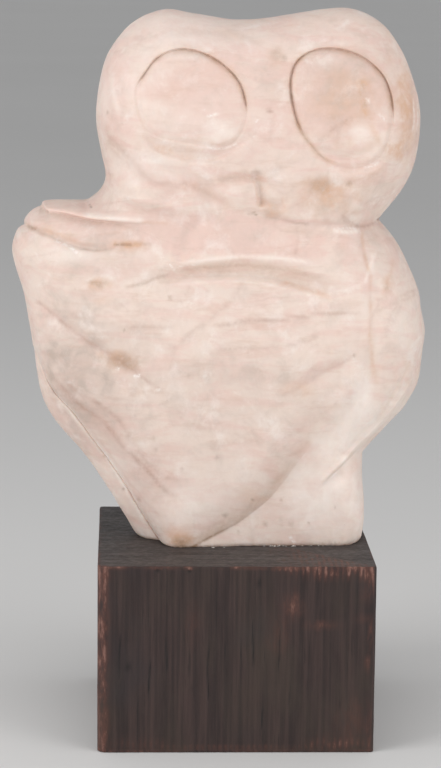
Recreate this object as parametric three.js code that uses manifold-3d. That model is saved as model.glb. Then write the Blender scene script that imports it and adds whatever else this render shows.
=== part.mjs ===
// A carved alabaster owl, cut from one block of stone, standing on a dark-stained timber block.
// Millimetres, +Z up. The origin is the middle of the timber block's underside, the owl looks
// along -Y, and +X is to the right of someone who looks the owl in the face.
import * as THREE from "three";
import { mergeVertices } from "three/addons/utils/BufferGeometryUtils.js";
import Module from "manifold-3d";

const wasm = await Module();
wasm.setup();

// Timber block
const plinthSide = 140;
const plinthHeight = 96.5;
const plinthEdge = 0.9;
const cornerRadius = 2.2;
const wornCornerRadius = 4.5;

// Owl: height above the timber block, and the upright middle plane that carries its outline
const owlHeight = 274;
const middleY = 5;
const outlineCentre = [0, 123.5];

// How far the carving stands in front of the middle plane, and the back behind it: [height, reach]
const frontReach = [
  [-30, 33], [0, 35], [30, 38.5], [60, 43], [95, 46], [120, 46.5], [142, 44],
  [165, 39.5], [182, 40], [210, 42], [240, 39], [262, 32], [owlHeight, 27],
];
const backReach = [
  [-30, 28], [0, 33], [60, 42], [110, 47], [145, 46], [172, 37], [205, 38], [240, 33], [owlHeight, 24],
];
// How far in from the outline the front turns the corner: [height, width], left and right. The
// left width gives way to the right one across a band down the middle.
const leftTurn = [
  [-30, 10], [0, 12], [20, 28], [45, 46], [100, 48], [150, 32], [190, 27], [owlHeight, 30],
];
const rightTurn = [[-30, 18], [36, 20], [60, 33], [140, 37], [180, 30], [owlHeight, 32]];
const middleBandHalf = 25;
const backTurn = 58;
const turnPower = 2.5;
const bellyRoundness = 0.1;
const bellyHalfWidth = 95;

// Outline, as the runs between its sharp corners: [x, height above the timber block]
const neckLeft = [-76.8, 175.5];
const neckRight = [73.6, 166.8];
const wingEndRight = [67.6, 45.2];
const footRight = [62, -30];
const footLeft = [-34, -30];
const notchLow = [-108.1, 162.3];
const notchHigh = [-99.3, 172.3];
const outlineRuns = [
  [
    neckLeft, [-70, 180.5], [-66.8, 188], [-68.9, 200], [-71.5, 216], [-70.6, 232], [-66, 250],
    [-54.5, 264.8], [-38, 272.8], [-21.7, 271], [-1, 267.9], [19.2, 269.7], [41.2, 273.2],
    [58.9, owlHeight], [74, 266.8], [84.7, 252.3], [91.5, 234.8], [94.3, 216.5], [92, 197],
    [85.8, 182.6], neckRight,
  ],
  [
    neckRight, [83.4, 154.7], [91, 140.3], [95.4, 129], [96.7, 120.8], [99.2, 109], [98.3, 99.6],
    [97.5, 92.4], [95.7, 81.5], [88.7, 68.8], [79.2, 58.6], [70.5, 48.8], wingEndRight,
  ],
  [wingEndRight, [67.8, 32], [69, 16], [68, 0], footRight],
  [footRight, footLeft],
  [
    footLeft, [-50.2, 0], [-62.4, 20.2], [-76.8, 41.8], [-92, 60], [-99.3, 74], [-102.4, 89.4],
    [-105.4, 108.2], [-108.8, 127], [-113.5, 143.4], [-114.6, 152], [-112, 160], notchLow,
  ],
  [notchLow, [-108, 165.5], [-104, 170], notchHigh],
  [notchHigh, [-98.6, 174.6], [-92, 175.4], neckLeft],
];

// Close to the outline the distance from it is exact. Between these two distances it gives way to
// a softened one, so that no crease runs in from the outline's corners. For a straight edge the
// sum behind the softened distance is softShare over distance ** 7.
const softFrom = 2;
const softTo = 9;
const softPower = 8;
const softShare = (5 * Math.PI) / 16;

// Rear strip of the left flank. The front body stops short of the outline along this line, and up
// to its top end it starts from the strip instead of from the middle plane.
const stripReach = 18;
const stripRound = 12;
const stripTop = 105;
const stripFade = 40;
const stripLine = [
  [-104.5, 101.5], [-101, 95], [-94, 80.3], [-84, 69], [-73, 54.5], [-56.5, 31], [-47, 14],
  [-39.5, 2], [-37, -4],
];

// Lower right edge of the breast shield, and how deep the ground beside it lies along its length.
// The step is crisp up to one share of the length and soft from another one on.
const shieldLine = [
  [-30, -6], [-21, 0.5], [-11, 6], [1, 12], [9.5, 18.5], [18, 26], [25, 34.5], [32, 45], [39, 55.5],
  [46, 66], [55, 79], [64, 92], [68, 110], [67, 141],
];
const shieldDrop = [[0, 1], [0.06, 1.8], [0.2, 4.5], [0.4, 5.5], [0.6, 5], [0.8, 2.5], [1, 0]];
const shieldRound = 20;
const shieldSoftWidth = 26;
const shieldCrispTo = 0.25;
const shieldSoftFrom = 0.5;

// Eyes: closed grooves round slightly domed eyeballs, deep between two shares of their length. A
// start below 0 lies before the first point.
const eyes = [
  {
    rim: [
      [-51.5, 233], [-47.5, 242], [-40, 250.7], [-27, 254.3], [-13, 250.2], [-1, 239.8], [3.4, 227],
      [2.4, 216.5], [-3.5, 208.2], [-14, 206.6], [-28, 208.8], [-41, 211.5], [-48.5, 218],
    ],
    deepFrom: 0.01,
    deepTo: 0.46,
  },
  {
    rim: [
      [25, 238], [28.5, 249], [38.3, 254.6], [50.6, 254.8], [63, 250.1], [72.7, 240.7], [76.6, 228],
      [76, 214], [71.5, 202.5], [61.3, 196.2], [49.6, 196.8], [40, 203], [33, 211.5], [27.5, 222.5],
    ],
    deepFrom: -0.16,
    deepTo: 0.42,
  },
];
const eyeGrooveDepth = 1.9;
const eyeLowerDepth = 0.45;
const eyeDepthFade = 0.06;
const eyeGrooveInner = 2.6;
const eyeGrooveOuter = 2;
const eyeGroovePower = 1.4;
const eyeballDome = 1.3;
const eyeballSink = 0.35;
const eyeballTurn = 15;
const eyeballStart = 1.2;

// Grooves, valleys and ridges of the front. A line runs from left to right or from the top down;
// height is negative for a cut, up and down are the half widths on its left-hand and right-hand
// side as it runs, and fade is the share of its length over which each end dies out.
const carving = (name, height, up, down, fade, ...line) => ({ name, height, up, down, fade, line });
const frontLines = [
  carving("chest groove", -4.6, 9, 3.4, [0.3, 0.35], [-58, 134.5], [-46, 138.5], [-32, 141],
    [-14, 142.3], [4, 142.5], [20, 140.5], [36, 136.5], [52, 131.5], [64, 126]),
  carving("chest lip", 0.9, 4, 5, [0.1, 0.3], [-36, 147.5], [-20, 148.5], [-4, 151.5], [12, 152.3],
    [28, 150.5], [44, 148.5]),
  carving("upper shoulder lip", 2.2, 4.5, 2.2, [0.02, 0.7], [-102, 174], [-90, 173], [-72, 170],
    [-40, 169.5]),
  carving("upper shoulder crease", -2, 1.6, 4.5, [0.02, 0.6], [-101, 171.5], [-88, 170], [-72, 167.5],
    [-36, 167]),
  carving("lower shoulder crease", -2.2, 5, 2.2, [0.02, 0.6], [-110, 164], [-94, 160.5], [-82, 156],
    [-66, 154.5], [-46, 157]),
  carving("shoulder edge", 1, 3, 9, [0.4, 0.4], [-96, 158], [-86, 154], [-76, 150]),
  carving("neck ridge", 2.2, 5, 6, [0.15, 0.4], [-70, 183], [-57, 181], [-44, 179], [-29, 176], [-14, 172]),
  carving("neck valley", -0.6, 5, 6, [0.3, 0.3], [-60, 174], [-44, 172.5], [-28, 170]),
  carving("shoulder valley", -1.2, 6, 6, [0.25, 0.15], [-15, 173], [-22, 165], [-27, 156], [-32, 148]),
  carving("jaw valley", -1.1, 7, 6, [0.25, 0.4], [-66, 202], [-56, 193], [-44, 188], [-30, 184]),
  carving("cheek crease", -1.5, 6, 5, [0.3, 0.2], [-46, 200], [-36, 194.5], [-21, 188], [-12, 180],
    [0, 176]),
  carving("left brow", -1.2, 4, 7, [0.5, 0.2], [-18, 187], [-1, 191], [7, 194.5]),
  carving("right brow", -0.8, 4, 5, [0.2, 0.4], [6, 195], [13, 190], [24, 185]),
  carving("eye hollow", -0.7, 5, 6, [0.3, 0.4], [12, 191], [22, 195], [34, 202]),
  carving("beak edge", -2.2, 5.5, 2.6, [0.2, 0.15], [5.5, 194.5], [9, 190], [10.5, 182], [11.5, 175]),
  carving("beak side", -0.8, 4, 3, [0.3, 0.3], [15, 189], [22, 184], [20, 172]),
  carving("chin", -1.7, 4, 9, [0.2, 0.02], [-2, 175], [10, 172.5], [22, 169.5], [38, 166.5], [50, 167],
    [58, 167], [70, 168]),
  carving("cheek roll", 1.2, 6, 5, [0.3, 0.3], [46, 180], [55, 175], [66, 175]),
  carving("left socket", -2, 6, 2.4, [0.15, 0.25], [-49, 213], [-43, 207], [-30, 201.5], [-15.5, 200.5],
    [-2.5, 206], [9, 214]),
  carving("right socket", -1.3, 4.5, 2.4, [0.2, 0.3], [37, 208], [44, 203.5], [54, 201.5], [65, 204.5],
    [72, 212]),
  carving("right cheekbone", 0.8, 2, 5, [0.3, 0.3], [44, 196.5], [55, 192.5], [68, 195], [77, 203]),
  carving("right breast crease", -0.9, 3, 3, [0.2, 0.3], [64, 167], [63, 156], [66, 150], [64, 136]),
  carving("right wing valley", -0.8, 6, 5, [0.3, 0.3], [67, 146], [69, 116], [68, 100], [69, 82]),
  carving("belly valley", -1.1, 8, 6, [0.35, 0.5], [60, 104], [52, 97.5], [45, 93.5], [36, 88.5], [24, 82]),
  carving("flank ridge", 1, 8, 8, [0.3, 0.4], [62, 98], [59, 86], [51, 74], [45, 62], [38, 50]),
  carving("left fold", -0.8, 5, 5, [0.05, 0.4], [-106, 131], [-94, 121.5], [-73, 107], [-58, 96], [-40, 85]),
  carving("wing rim groove", -1.2, 1.6, 3.2, [0.25, 0.3], [91, 99], [85.5, 88.5], [79, 78.5], [72, 66.5],
    [66, 59.5], [56, 50]),
  carving("wing rim", 1.5, 3, 2.2, [0.3, 0.2], [97, 98], [91, 87], [84, 76.5], [76, 66], [67, 56.5],
    [56, 46.5], [41, 31]),
  carving("wing rim shadow", -2.2, 8, 1.4, [0.1, 0.4], [72, 53.5], [64, 49], [55, 42.5], [44, 31.5]),
];
// Relief dies out over this distance from the outline, in front and behind
const frontReliefStart = 3;
const backReliefStart = 12;

// Soft swellings of the front: centre, half sizes and height
const frontSwells = [
  { name: "belly bulge", centre: [59, 88], half: [9, 15], height: 1.4 },
  { name: "beak plane", centre: [-2, 183], half: [16, 9], height: 1 },
  { name: "wing", centre: [82, 112], half: [22, 32], height: 1.5 },
];

// Back: shallow wing edges that meet over the tail, and a line down the nape
const backLines = [
  carving("left wing edge", -2.4, 12, 4, [0.25, 0.05], [-86, 152], [-78, 112], [-52, 68], [-16, 26],
    [-10, -4]),
  carving("right wing edge", -2.4, 4, 12, [0.25, 0.05], [82, 148], [74, 108], [50, 66], [18, 26], [12, -4]),
  carving("nape", -2, 9, 12, [0.4, 0.4], [-52, 176], [-20, 169], [20, 168], [56, 172]),
];

// Fineness of the faceting: how far a facet may lie off the true surface, and how long its edge
// may be, in front and behind. Beside a steeply carved line of the front the edges start shorter
// and grow away from it. The first rounds only mend the worst facets.
const pointsPerSpan = 6;
const mostRounds = 90;
const faceLimit = 10600;
const firstTolerance = 2.5;
const toleranceStep = 0.95;
const front = { tolerance: 0.17, longestEdge: 13 };
const back = { tolerance: 0.8, longestEdge: 30 };
const shortestEdge = 1.7;
const steepShare = 0.82;
const steepEdge = 2.2;
const edgeGrowth = 2;
const equatorMargin = 1e-9;
const leastStepSize = 1e-12;
const weldDistance = 1e-4;
const calmDirections = 120;
const calmSpread = 7;
const rimGrip = 4;
const plinthArcSteps = 4;
const plinthBevelSteps = 2;

const clamp01 = (value) => Math.min(1, Math.max(0, value));
const smooth = (value) => {
  const t = clamp01(value);
  return t * t * (3 - 2 * t);
};

// A [position, value] profile as one smooth curve through its points, level beyond its ends
function curveThrough(profile) {
  const last = profile.length - 1;
  const rise = (i) => (profile[i + 1][1] - profile[i][1]) / (profile[i + 1][0] - profile[i][0]);
  const slopes = profile.map(([position], i) => {
    if (i === 0) return rise(0);
    if (i === last) return rise(last - 1);
    const before = position - profile[i - 1][0];
    const after = profile[i + 1][0] - position;
    return (before * rise(i) + after * rise(i - 1)) / (before + after);
  });
  return (position) => {
    let i = 0;
    while (i < last - 1 && position > profile[i + 1][0]) i += 1;
    const [p0, v0] = profile[i];
    const [p1, v1] = profile[i + 1];
    const t = clamp01((position - p0) / (p1 - p0));
    const start = slopes[i] * (p1 - p0);
    const end = slopes[i + 1] * (p1 - p0);
    const bend = 3 * (v1 - v0) - 2 * start - end;
    return v0 + t * start + t ** 2 * bend + t ** 3 * (start + end - 2 * (v1 - v0));
  };
}

// Rounded rise from 0 at an edge to 1 at the full width; a power of 2 gives a quarter circle
const quarterRound = (distance, width, power = 2) => {
  const u = 1 - clamp01(distance / width);
  return Math.sqrt(1 - u ** power);
};

function samples(points, closed = false) {
  const ring = closed ? [points[points.length - 1], ...points, points[0], points[1]] : points;
  const spline = new THREE.SplineCurve(ring.map(([x, h]) => new THREE.Vector2(x, h)));
  const spans = ring.length - 1;
  const first = closed ? 1 : 0;
  const last = closed ? spans - 1 : spans;
  const result = [];
  for (let i = first * pointsPerSpan; i <= last * pointsPerSpan; i += 1) {
    result.push(spline.getPoint(i / (spans * pointsPerSpan)));
  }
  return result;
}

// A line that can be asked how far away a point is, on which side, and how far along it
function measuredPath(path, reach = Infinity) {
  const starts = path.slice(0, -1);
  const steps = starts.map((a, i) => path[i + 1].clone().sub(a));
  const sizes = steps.map((step) => Math.max(step.lengthSq(), leastStepSize));
  const lengths = [0];
  for (const step of steps) lengths.push(lengths[lengths.length - 1] + step.length());
  const total = lengths[steps.length];
  const box = new THREE.Box2().setFromPoints(path).expandByScalar(reach);
  return (x, h) => {
    if (x < box.min.x || x > box.max.x || h < box.min.y || h > box.max.y) return null;
    let least = Infinity;
    let index = 0;
    let share = 0;
    for (let i = 0; i < steps.length; i += 1) {
      const px = x - starts[i].x;
      const ph = h - starts[i].y;
      const t = clamp01((px * steps[i].x + ph * steps[i].y) / sizes[i]);
      const size = (px - t * steps[i].x) ** 2 + (ph - t * steps[i].y) ** 2;
      if (size < least) {
        least = size;
        index = i;
        share = t;
      }
    }
    const step = steps[index];
    return {
      distance: Math.sqrt(least),
      left: step.x * (h - starts[index].y) - step.y * (x - starts[index].x) > 0,
      at: (lengths[index] + share * step.length()) / total,
    };
  };
}

function measuredLine(points, closed = false, reach = Infinity) {
  return measuredPath(samples(points, closed), reach);
}

const outlinePath = outlineRuns.flatMap((run) => samples(run).slice(0, -1));
const measureOutline = measuredPath([...outlinePath, outlinePath[0]]);
const outlineSteps = outlinePath.map((start, i) => {
  const step = outlinePath[(i + 1) % outlinePath.length].clone().sub(start);
  return { start, step, length: step.length() };
});

// Distance from the outline, softened away from it
function rimDistance(x, h) {
  const exact = measureOutline(x, h).distance;
  if (exact <= softFrom) return exact;
  let total = 0;
  for (const { start, step, length } of outlineSteps) {
    const px = x - start.x;
    const ph = h - start.y;
    const t = clamp01((px * step.x + ph * step.y) / length ** 2);
    const size = (px - t * step.x) ** 2 + (ph - t * step.y) ** 2;
    total += length / size ** (softPower / 2);
  }
  const soft = (softShare / total) ** (1 / (softPower - 1));
  return THREE.MathUtils.lerp(exact, soft, smooth((exact - softFrom) / (softTo - softFrom)));
}

// Distance from the outline's centre to the outline in a direction, and the same smoothed out
const outlineFan = outlinePath
  .map((p) => ({
    angle: Math.atan2(p.y - outlineCentre[1], p.x - outlineCentre[0]),
    radius: Math.hypot(p.x - outlineCentre[0], p.y - outlineCentre[1]),
  }))
  .sort((a, b) => a.angle - b.angle);
const fullTurn = 2 * Math.PI;

function radiusIn(fan, angle) {
  let low = 0;
  let high = fan.length;
  while (low < high) {
    const middle = (low + high) >> 1;
    if (fan[middle].angle < angle) low = middle + 1;
    else high = middle;
  }
  const after = fan[low % fan.length];
  const before = fan[(low + fan.length - 1) % fan.length];
  const span = (after.angle - before.angle + fullTurn) % fullTurn;
  const part = span > 0 ? ((angle - before.angle + fullTurn) % fullTurn) / span : 0;
  return THREE.MathUtils.lerp(before.radius, after.radius, part);
}

const wrapped = (angle) => Math.atan2(Math.sin(angle), Math.cos(angle));
const calmFan = Array.from({ length: calmDirections }, (_, i) => {
  const angle = -Math.PI + ((i + 0.5) * fullTurn) / calmDirections;
  let total = 0;
  for (let k = -calmSpread; k <= calmSpread; k += 1) {
    total += radiusIn(outlineFan, wrapped(angle + (k * fullTurn) / calmDirections));
  }
  return { angle, radius: total / (2 * calmSpread + 1) };
});

function carvedLine({ line, height, up, down, fade }) {
  const measure = measuredLine(line, false, Math.max(up, down));
  return (x, h) => {
    const near = measure(x, h);
    if (!near) return 0;
    const u = near.distance / (near.left ? up : down);
    if (u >= 1) return 0;
    const fadeIn = smooth(near.at / fade[0]);
    const fadeOut = smooth((1 - near.at) / fade[1]);
    return height * (1 - u) ** 2 * (1 + 2 * u) * fadeIn * fadeOut;
  };
}

function swell({ centre, half, height }) {
  return (x, h) => {
    const u = Math.hypot((x - centre[0]) / half[0], (h - centre[1]) / half[1]);
    return height * smooth(1 - u);
  };
}

function eye({ rim, deepFrom, deepTo }) {
  const measure = measuredLine(rim, true);
  const middle = rim.reduce((sum, p) => [sum[0] + p[0] / rim.length, sum[1] + p[1] / rim.length], [0, 0]);
  const farthest = Math.max(...rim.map((p) => Math.hypot(p[0] - middle[0], p[1] - middle[1])));
  return (x, h) => {
    if (Math.hypot(x - middle[0], h - middle[1]) > farthest + 2 * eyeGrooveInner) return 0;
    const { distance, left, at } = measure(x, h);
    const share = deepFrom < 0 && at > deepTo + eyeDepthFade ? at - 1 : at;
    const fadeIn = smooth((share - deepFrom) / eyeDepthFade);
    const fadeOut = smooth((deepTo + eyeDepthFade - share) / eyeDepthFade);
    const depth = THREE.MathUtils.lerp(eyeLowerDepth, eyeGrooveDepth, fadeIn * fadeOut);
    const width = left ? eyeGrooveOuter : eyeGrooveInner;
    const groove = -depth * (1 - clamp01(distance / width)) ** eyeGroovePower;
    const dome = left ? 0 : eyeballDome * (quarterRound(distance, eyeballTurn) - eyeballSink);
    return groove + dome * smooth(distance / eyeballStart);
  };
}

const frontCarving = [...frontLines.map(carvedLine), ...frontSwells.map(swell), ...eyes.map(eye)];
const steepLines = [
  ...eyes.map(({ rim }) => measuredLine(rim, true, front.longestEdge)),
  ...frontLines
    .filter(({ height, up, down }) => Math.abs(height) > steepShare * Math.min(up, down))
    .map(({ line }) => measuredLine(line, false, front.longestEdge)),
];
const backCarving = backLines.map(carvedLine);
const measureStrip = measuredLine(stripLine);
const measureShield = measuredLine(shieldLine);

const sum = (carvings, x, h) => carvings.reduce((total, carved) => total + carved(x, h), 0);

const frontReachAt = curveThrough(frontReach);
const backReachAt = curveThrough(backReach);
const leftTurnAt = curveThrough(leftTurn);
const rightTurnAt = curveThrough(rightTurn);
const shieldDropAt = curveThrough(shieldDrop);

function shieldStep(x, h) {
  const { distance, left, at } = measureShield(x, h);
  const outside = left ? -distance : distance;
  const crisp = (1 - clamp01(-outside / shieldRound)) ** 2;
  const soft = smooth((outside + shieldRound) / shieldSoftWidth);
  const softness = smooth((at - shieldCrispTo) / (shieldSoftFrom - shieldCrispTo));
  return shieldDropAt(at) * THREE.MathUtils.lerp(crisp, soft, softness);
}

function frontDepth(x, h) {
  const rim = rimDistance(x, h);
  const strip = measureStrip(x, h);
  const inBody = strip.left ? Math.min(rim, strip.distance) : 0;
  const rightness = smooth((x + middleBandHalf) / (2 * middleBandHalf));
  const turn = THREE.MathUtils.lerp(leftTurnAt(h), rightTurnAt(h), rightness);
  const crown = 1 - bellyRoundness * (x / bellyHalfWidth) ** 2;
  const rearStrip = stripReach * quarterRound(rim, stripRound);
  const lift = rearStrip * (1 - rightness) * (1 - smooth((h - stripTop) / stripFade));
  const round = quarterRound(inBody, turn, turnPower);
  const body = THREE.MathUtils.lerp(lift, frontReachAt(h) * crown, round);
  const relief = strip.left ? sum(frontCarving, x, h) * smooth(rim / frontReliefStart) : 0;
  return Math.max(body - shieldStep(x, h) * smooth(inBody / turn) + relief, rearStrip);
}

function backDepth(x, h) {
  const rim = rimDistance(x, h);
  const body = backReachAt(h) * quarterRound(rim, backTurn, turnPower);
  return body + sum(backCarving, x, h) * smooth(rim / backReliefStart);
}

// Stone surface for a direction from the middle of the owl. The equator of the unit sphere that
// has y = 0 becomes the outline; the half towards -Y is the front.
function stonePoint(direction) {
  const spread = Math.hypot(direction.x, direction.z);
  const angle = Math.atan2(direction.z, direction.x);
  const calm = radiusIn(calmFan, angle);
  const radius = calm + (radiusIn(outlineFan, angle) - calm) * spread ** rimGrip;
  const x = outlineCentre[0] + radius * direction.x;
  const h = outlineCentre[1] + radius * direction.z;
  const onOutline = Math.abs(direction.y) < equatorMargin;
  let y = middleY;
  if (!onOutline && direction.y < 0) y -= frontDepth(x, h);
  if (!onOutline && direction.y > 0) y += backDepth(x, h);
  return new THREE.Vector3(x, y, h);
}

// Faceted stone: an octahedron whose faces are halved until they lie close to the surface. Each
// face is [a, b, c] with the edge a-b next to be halved, so neighbours always stay matched.
function facetedStone() {
  const axes = [[1, 0, 0], [-1, 0, 0], [0, 1, 0], [0, -1, 0], [0, 0, 1], [0, 0, -1]];
  const directions = axes.map((axis) => new THREE.Vector3(...axis));
  const spots = directions.map(stonePoint);
  let faces = [
    [0, 4, 3], [4, 1, 3], [1, 5, 3], [5, 0, 3],
    [4, 0, 2], [1, 4, 2], [5, 1, 2], [0, 5, 2],
  ];
  const middles = new Map();
  const key = (a, b) => (a < b ? `${a}_${b}` : `${b}_${a}`);

  function middleOf(a, b) {
    const name = key(a, b);
    if (!middles.has(name)) {
      middles.set(name, directions.length);
      const direction = directions[a].clone().add(directions[b]).normalize();
      directions.push(direction);
      spots.push(stonePoint(direction));
    }
    return middles.get(name);
  }

  const weights = [
    [1, 1, 0], [1, 1, 1], [3, 1, 0], [1, 3, 0], [1, 0, 1], [0, 1, 1], [1, 1, 3], [3, 1, 1], [1, 3, 1],
  ];
  const misfits = new Map();
  function misfit([a, b, c]) {
    const name = `${a}_${b}_${c}`;
    if (misfits.has(name)) return misfits.get(name);
    const triangle = new THREE.Triangle(spots[a], spots[b], spots[c]);
    const normal = triangle.getNormal(new THREE.Vector3());
    let worst = 0;
    for (const [wa, wb, wc] of weights) {
      const direction = directions[a].clone().multiplyScalar(wa);
      direction.addScaledVector(directions[b], wb).addScaledVector(directions[c], wc).normalize();
      const off = stonePoint(direction).sub(spots[a]).dot(normal);
      worst = Math.max(worst, Math.abs(off));
    }
    misfits.set(name, worst);
    return worst;
  }

  // Longest edge wanted in front, where this edge lies
  const wantedEdges = new Map();
  function wantedEdge(a, b) {
    const name = key(a, b);
    if (wantedEdges.has(name)) return wantedEdges.get(name);
    const middle = spots[a].clone().lerp(spots[b], 0.5);
    const distances = steepLines.map((measure) => measure(middle.x, middle.z)?.distance ?? Infinity);
    const wanted = Math.min(front.longestEdge, steepEdge + edgeGrowth * Math.min(...distances));
    wantedEdges.set(name, wanted);
    return wanted;
  }

  function wantsHalving(face, round) {
    const points = face.map((i) => spots[i]);
    const length = points[0].distanceTo(points[1]);
    const behind = face.some((i) => directions[i].y > equatorMargin);
    const fineness = behind ? back : front;
    if (length > (behind ? back.longestEdge : wantedEdge(face[0], face[1]))) return true;
    if (length < shortestEdge || Math.max(...points.map((p) => p.z)) < 0) return false;
    return misfit(face) > Math.max(fineness.tolerance, firstTolerance * toleranceStep ** round);
  }

  function halve(marked) {
    let grew = true;
    while (grew) {
      grew = false;
      for (const [a, b, c] of faces) {
        const touched = marked.has(key(b, c)) || marked.has(key(c, a));
        if (touched && !marked.has(key(a, b))) {
          marked.add(key(a, b));
          grew = true;
        }
      }
    }
    const split = ([a, b, c]) => {
      if (!marked.has(key(a, b))) return [[a, b, c]];
      const m = middleOf(a, b);
      return [...split([c, a, m]), ...split([b, c, m])];
    };
    faces = faces.flatMap(split);
  }

  for (let round = 0; round < mostRounds && faces.length < faceLimit; round += 1) {
    const wanted = faces.filter((face) => wantsHalving(face, round));
    halve(new Set(wanted.map(([a, b]) => key(a, b))));
  }
  return { spots, faces };
}

function solidFrom(geometry) {
  const bare = geometry.clone();
  bare.deleteAttribute("normal");
  bare.deleteAttribute("uv");
  const merged = mergeVertices(bare, weldDistance);
  return new wasm.Manifold(
    new wasm.Mesh({
      numProp: 3,
      vertProperties: new Float32Array(merged.attributes.position.array),
      triVerts: new Uint32Array(merged.index.array),
    }),
  );
}

function geometryFrom(solid) {
  const mesh = solid.getMesh();
  const geometry = new THREE.BufferGeometry();
  geometry.setAttribute("position", new THREE.BufferAttribute(new Float32Array(mesh.vertProperties), 3));
  geometry.setIndex(new THREE.BufferAttribute(new Uint32Array(mesh.triVerts), 1));
  geometry.computeVertexNormals();
  return geometry;
}

// The owl: the faceted stone, sawn flat where it stands on the timber
function owlGeometry() {
  const { spots, faces } = facetedStone();
  const stone = new THREE.BufferGeometry();
  stone.setAttribute("position", new THREE.Float32BufferAttribute(spots.flatMap((p) => p.toArray()), 3));
  stone.setIndex(faces.flat());
  const sawnDepth = 80;
  const waste = new THREE.BoxGeometry(3 * plinthSide, 3 * plinthSide, sawnDepth);
  waste.translate(0, 0, -sawnDepth / 2);
  return geometryFrom(solidFrom(stone).subtract(solidFrom(waste)));
}

// The timber block: square in plan, with softened edges and one well-worn upright corner in front
function plinthGeometry() {
  const half = plinthSide / 2 - plinthEdge;
  const cornerRadii = [wornCornerRadius, cornerRadius, cornerRadius, cornerRadius];
  const corners = [[-half, -half], [half, -half], [half, half], [-half, half]];
  const plan = new THREE.Shape();
  corners.forEach(([x, y], i) => {
    const r = cornerRadii[i] - plinthEdge;
    const start = Math.PI + (i * Math.PI) / 2;
    const cx = x - Math.sign(x) * r;
    const cy = y - Math.sign(y) * r;
    if (i === 0) plan.moveTo(cx - r, cy);
    plan.absarc(cx, cy, r, start, start + Math.PI / 2, false);
  });
  plan.closePath();
  const block = new THREE.ExtrudeGeometry(plan, {
    depth: plinthHeight - 2 * plinthEdge,
    bevelEnabled: true,
    bevelSize: plinthEdge,
    bevelThickness: plinthEdge,
    bevelSegments: plinthBevelSteps,
    curveSegments: plinthArcSteps,
  });
  block.translate(0, 0, plinthEdge);
  return block;
}

function named(name, geometry, material) {
  const mesh = new THREE.Mesh(geometry, material);
  mesh.name = name;
  return mesh;
}

const alabaster = new THREE.MeshStandardMaterial({ color: 0xead5c8, roughness: 0.45, metalness: 0 });
const stainedTimber = new THREE.MeshStandardMaterial({ color: 0x43383a, roughness: 0.6, metalness: 0 });

const statue = new THREE.Group();
const owl = named("owl_statue", owlGeometry(), alabaster);
owl.position.z = plinthHeight;
statue.add(owl, named("timber_plinth", plinthGeometry(), stainedTimber));

export default statue;
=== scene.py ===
import math
import random
import bmesh
import bpy
import numpy as np
from mathutils import Matrix, Vector, noise


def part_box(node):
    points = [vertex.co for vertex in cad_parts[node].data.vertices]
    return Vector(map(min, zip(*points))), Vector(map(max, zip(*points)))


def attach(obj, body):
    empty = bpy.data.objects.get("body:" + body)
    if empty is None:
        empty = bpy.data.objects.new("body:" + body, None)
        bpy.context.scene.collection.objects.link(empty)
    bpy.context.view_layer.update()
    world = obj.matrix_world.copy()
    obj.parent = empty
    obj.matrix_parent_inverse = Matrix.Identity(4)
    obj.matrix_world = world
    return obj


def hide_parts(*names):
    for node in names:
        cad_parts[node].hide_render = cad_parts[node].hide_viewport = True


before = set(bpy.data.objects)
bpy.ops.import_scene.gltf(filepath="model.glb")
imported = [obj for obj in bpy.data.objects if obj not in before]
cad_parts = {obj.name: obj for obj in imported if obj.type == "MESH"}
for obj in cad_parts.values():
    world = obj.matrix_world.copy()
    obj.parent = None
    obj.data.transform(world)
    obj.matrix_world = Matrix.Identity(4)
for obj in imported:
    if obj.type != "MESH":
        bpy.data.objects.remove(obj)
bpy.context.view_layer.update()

# A carved alabaster owl on a dark-stained timber block. The owl's shape is worked out in
# millimetres as (x, height above the block), and turned into metres when its mesh is made.
MM = 0.001
ROOT = "root"
PLINTH_LOW, PLINTH_HIGH = (np.array(corner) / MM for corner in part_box("timber_plinth"))
PLINTH_TOP = PLINTH_HIGH[2]
OWL_HEIGHT = 274.0
MIDDLE_Y = 5.0
OUTLINE_CENTRE = (0.0, 123.5)
FOOT_SINK = 0.25
FOOT_SOFTENING = 1.5
FOOT_CENTRE = (9.0, 5.0)

# Reach of the stone in front of the middle plane and behind it: (height, reach)
FRONT_REACH = [
    (-30, 33), (0, 35), (30, 38.5), (60, 43), (95, 46), (120, 46.5), (142, 44),
    (165, 39.5), (182, 40), (210, 42), (240, 39), (262, 32), (OWL_HEIGHT, 27),
]
BACK_REACH = [
    (-30, 28), (0, 33), (60, 42), (110, 47), (145, 46), (172, 37), (205, 38), (240, 33), (OWL_HEIGHT, 24),
]
# Width over which the surface turns the corner to the outline: (height, width)
LEFT_TURN = [(-30, 10), (0, 12), (20, 28), (45, 46), (100, 48), (150, 32), (190, 27), (OWL_HEIGHT, 30)]
RIGHT_TURN = [(-30, 18), (36, 20), (60, 33), (140, 37), (180, 30), (OWL_HEIGHT, 32)]
BACK_TURN = 58.0
TURN_POWER = 2.5
BELLY_ROUNDNESS = 0.1
BELLY_HALF_WIDTH = 95.0
SIDE_BLEND = 50.0
# Distance from the outline over which carving dies out
FRONT_MARGIN = 3.0
STRIP_MARGIN = 6.0
BACK_MARGIN = 12.0

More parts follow.
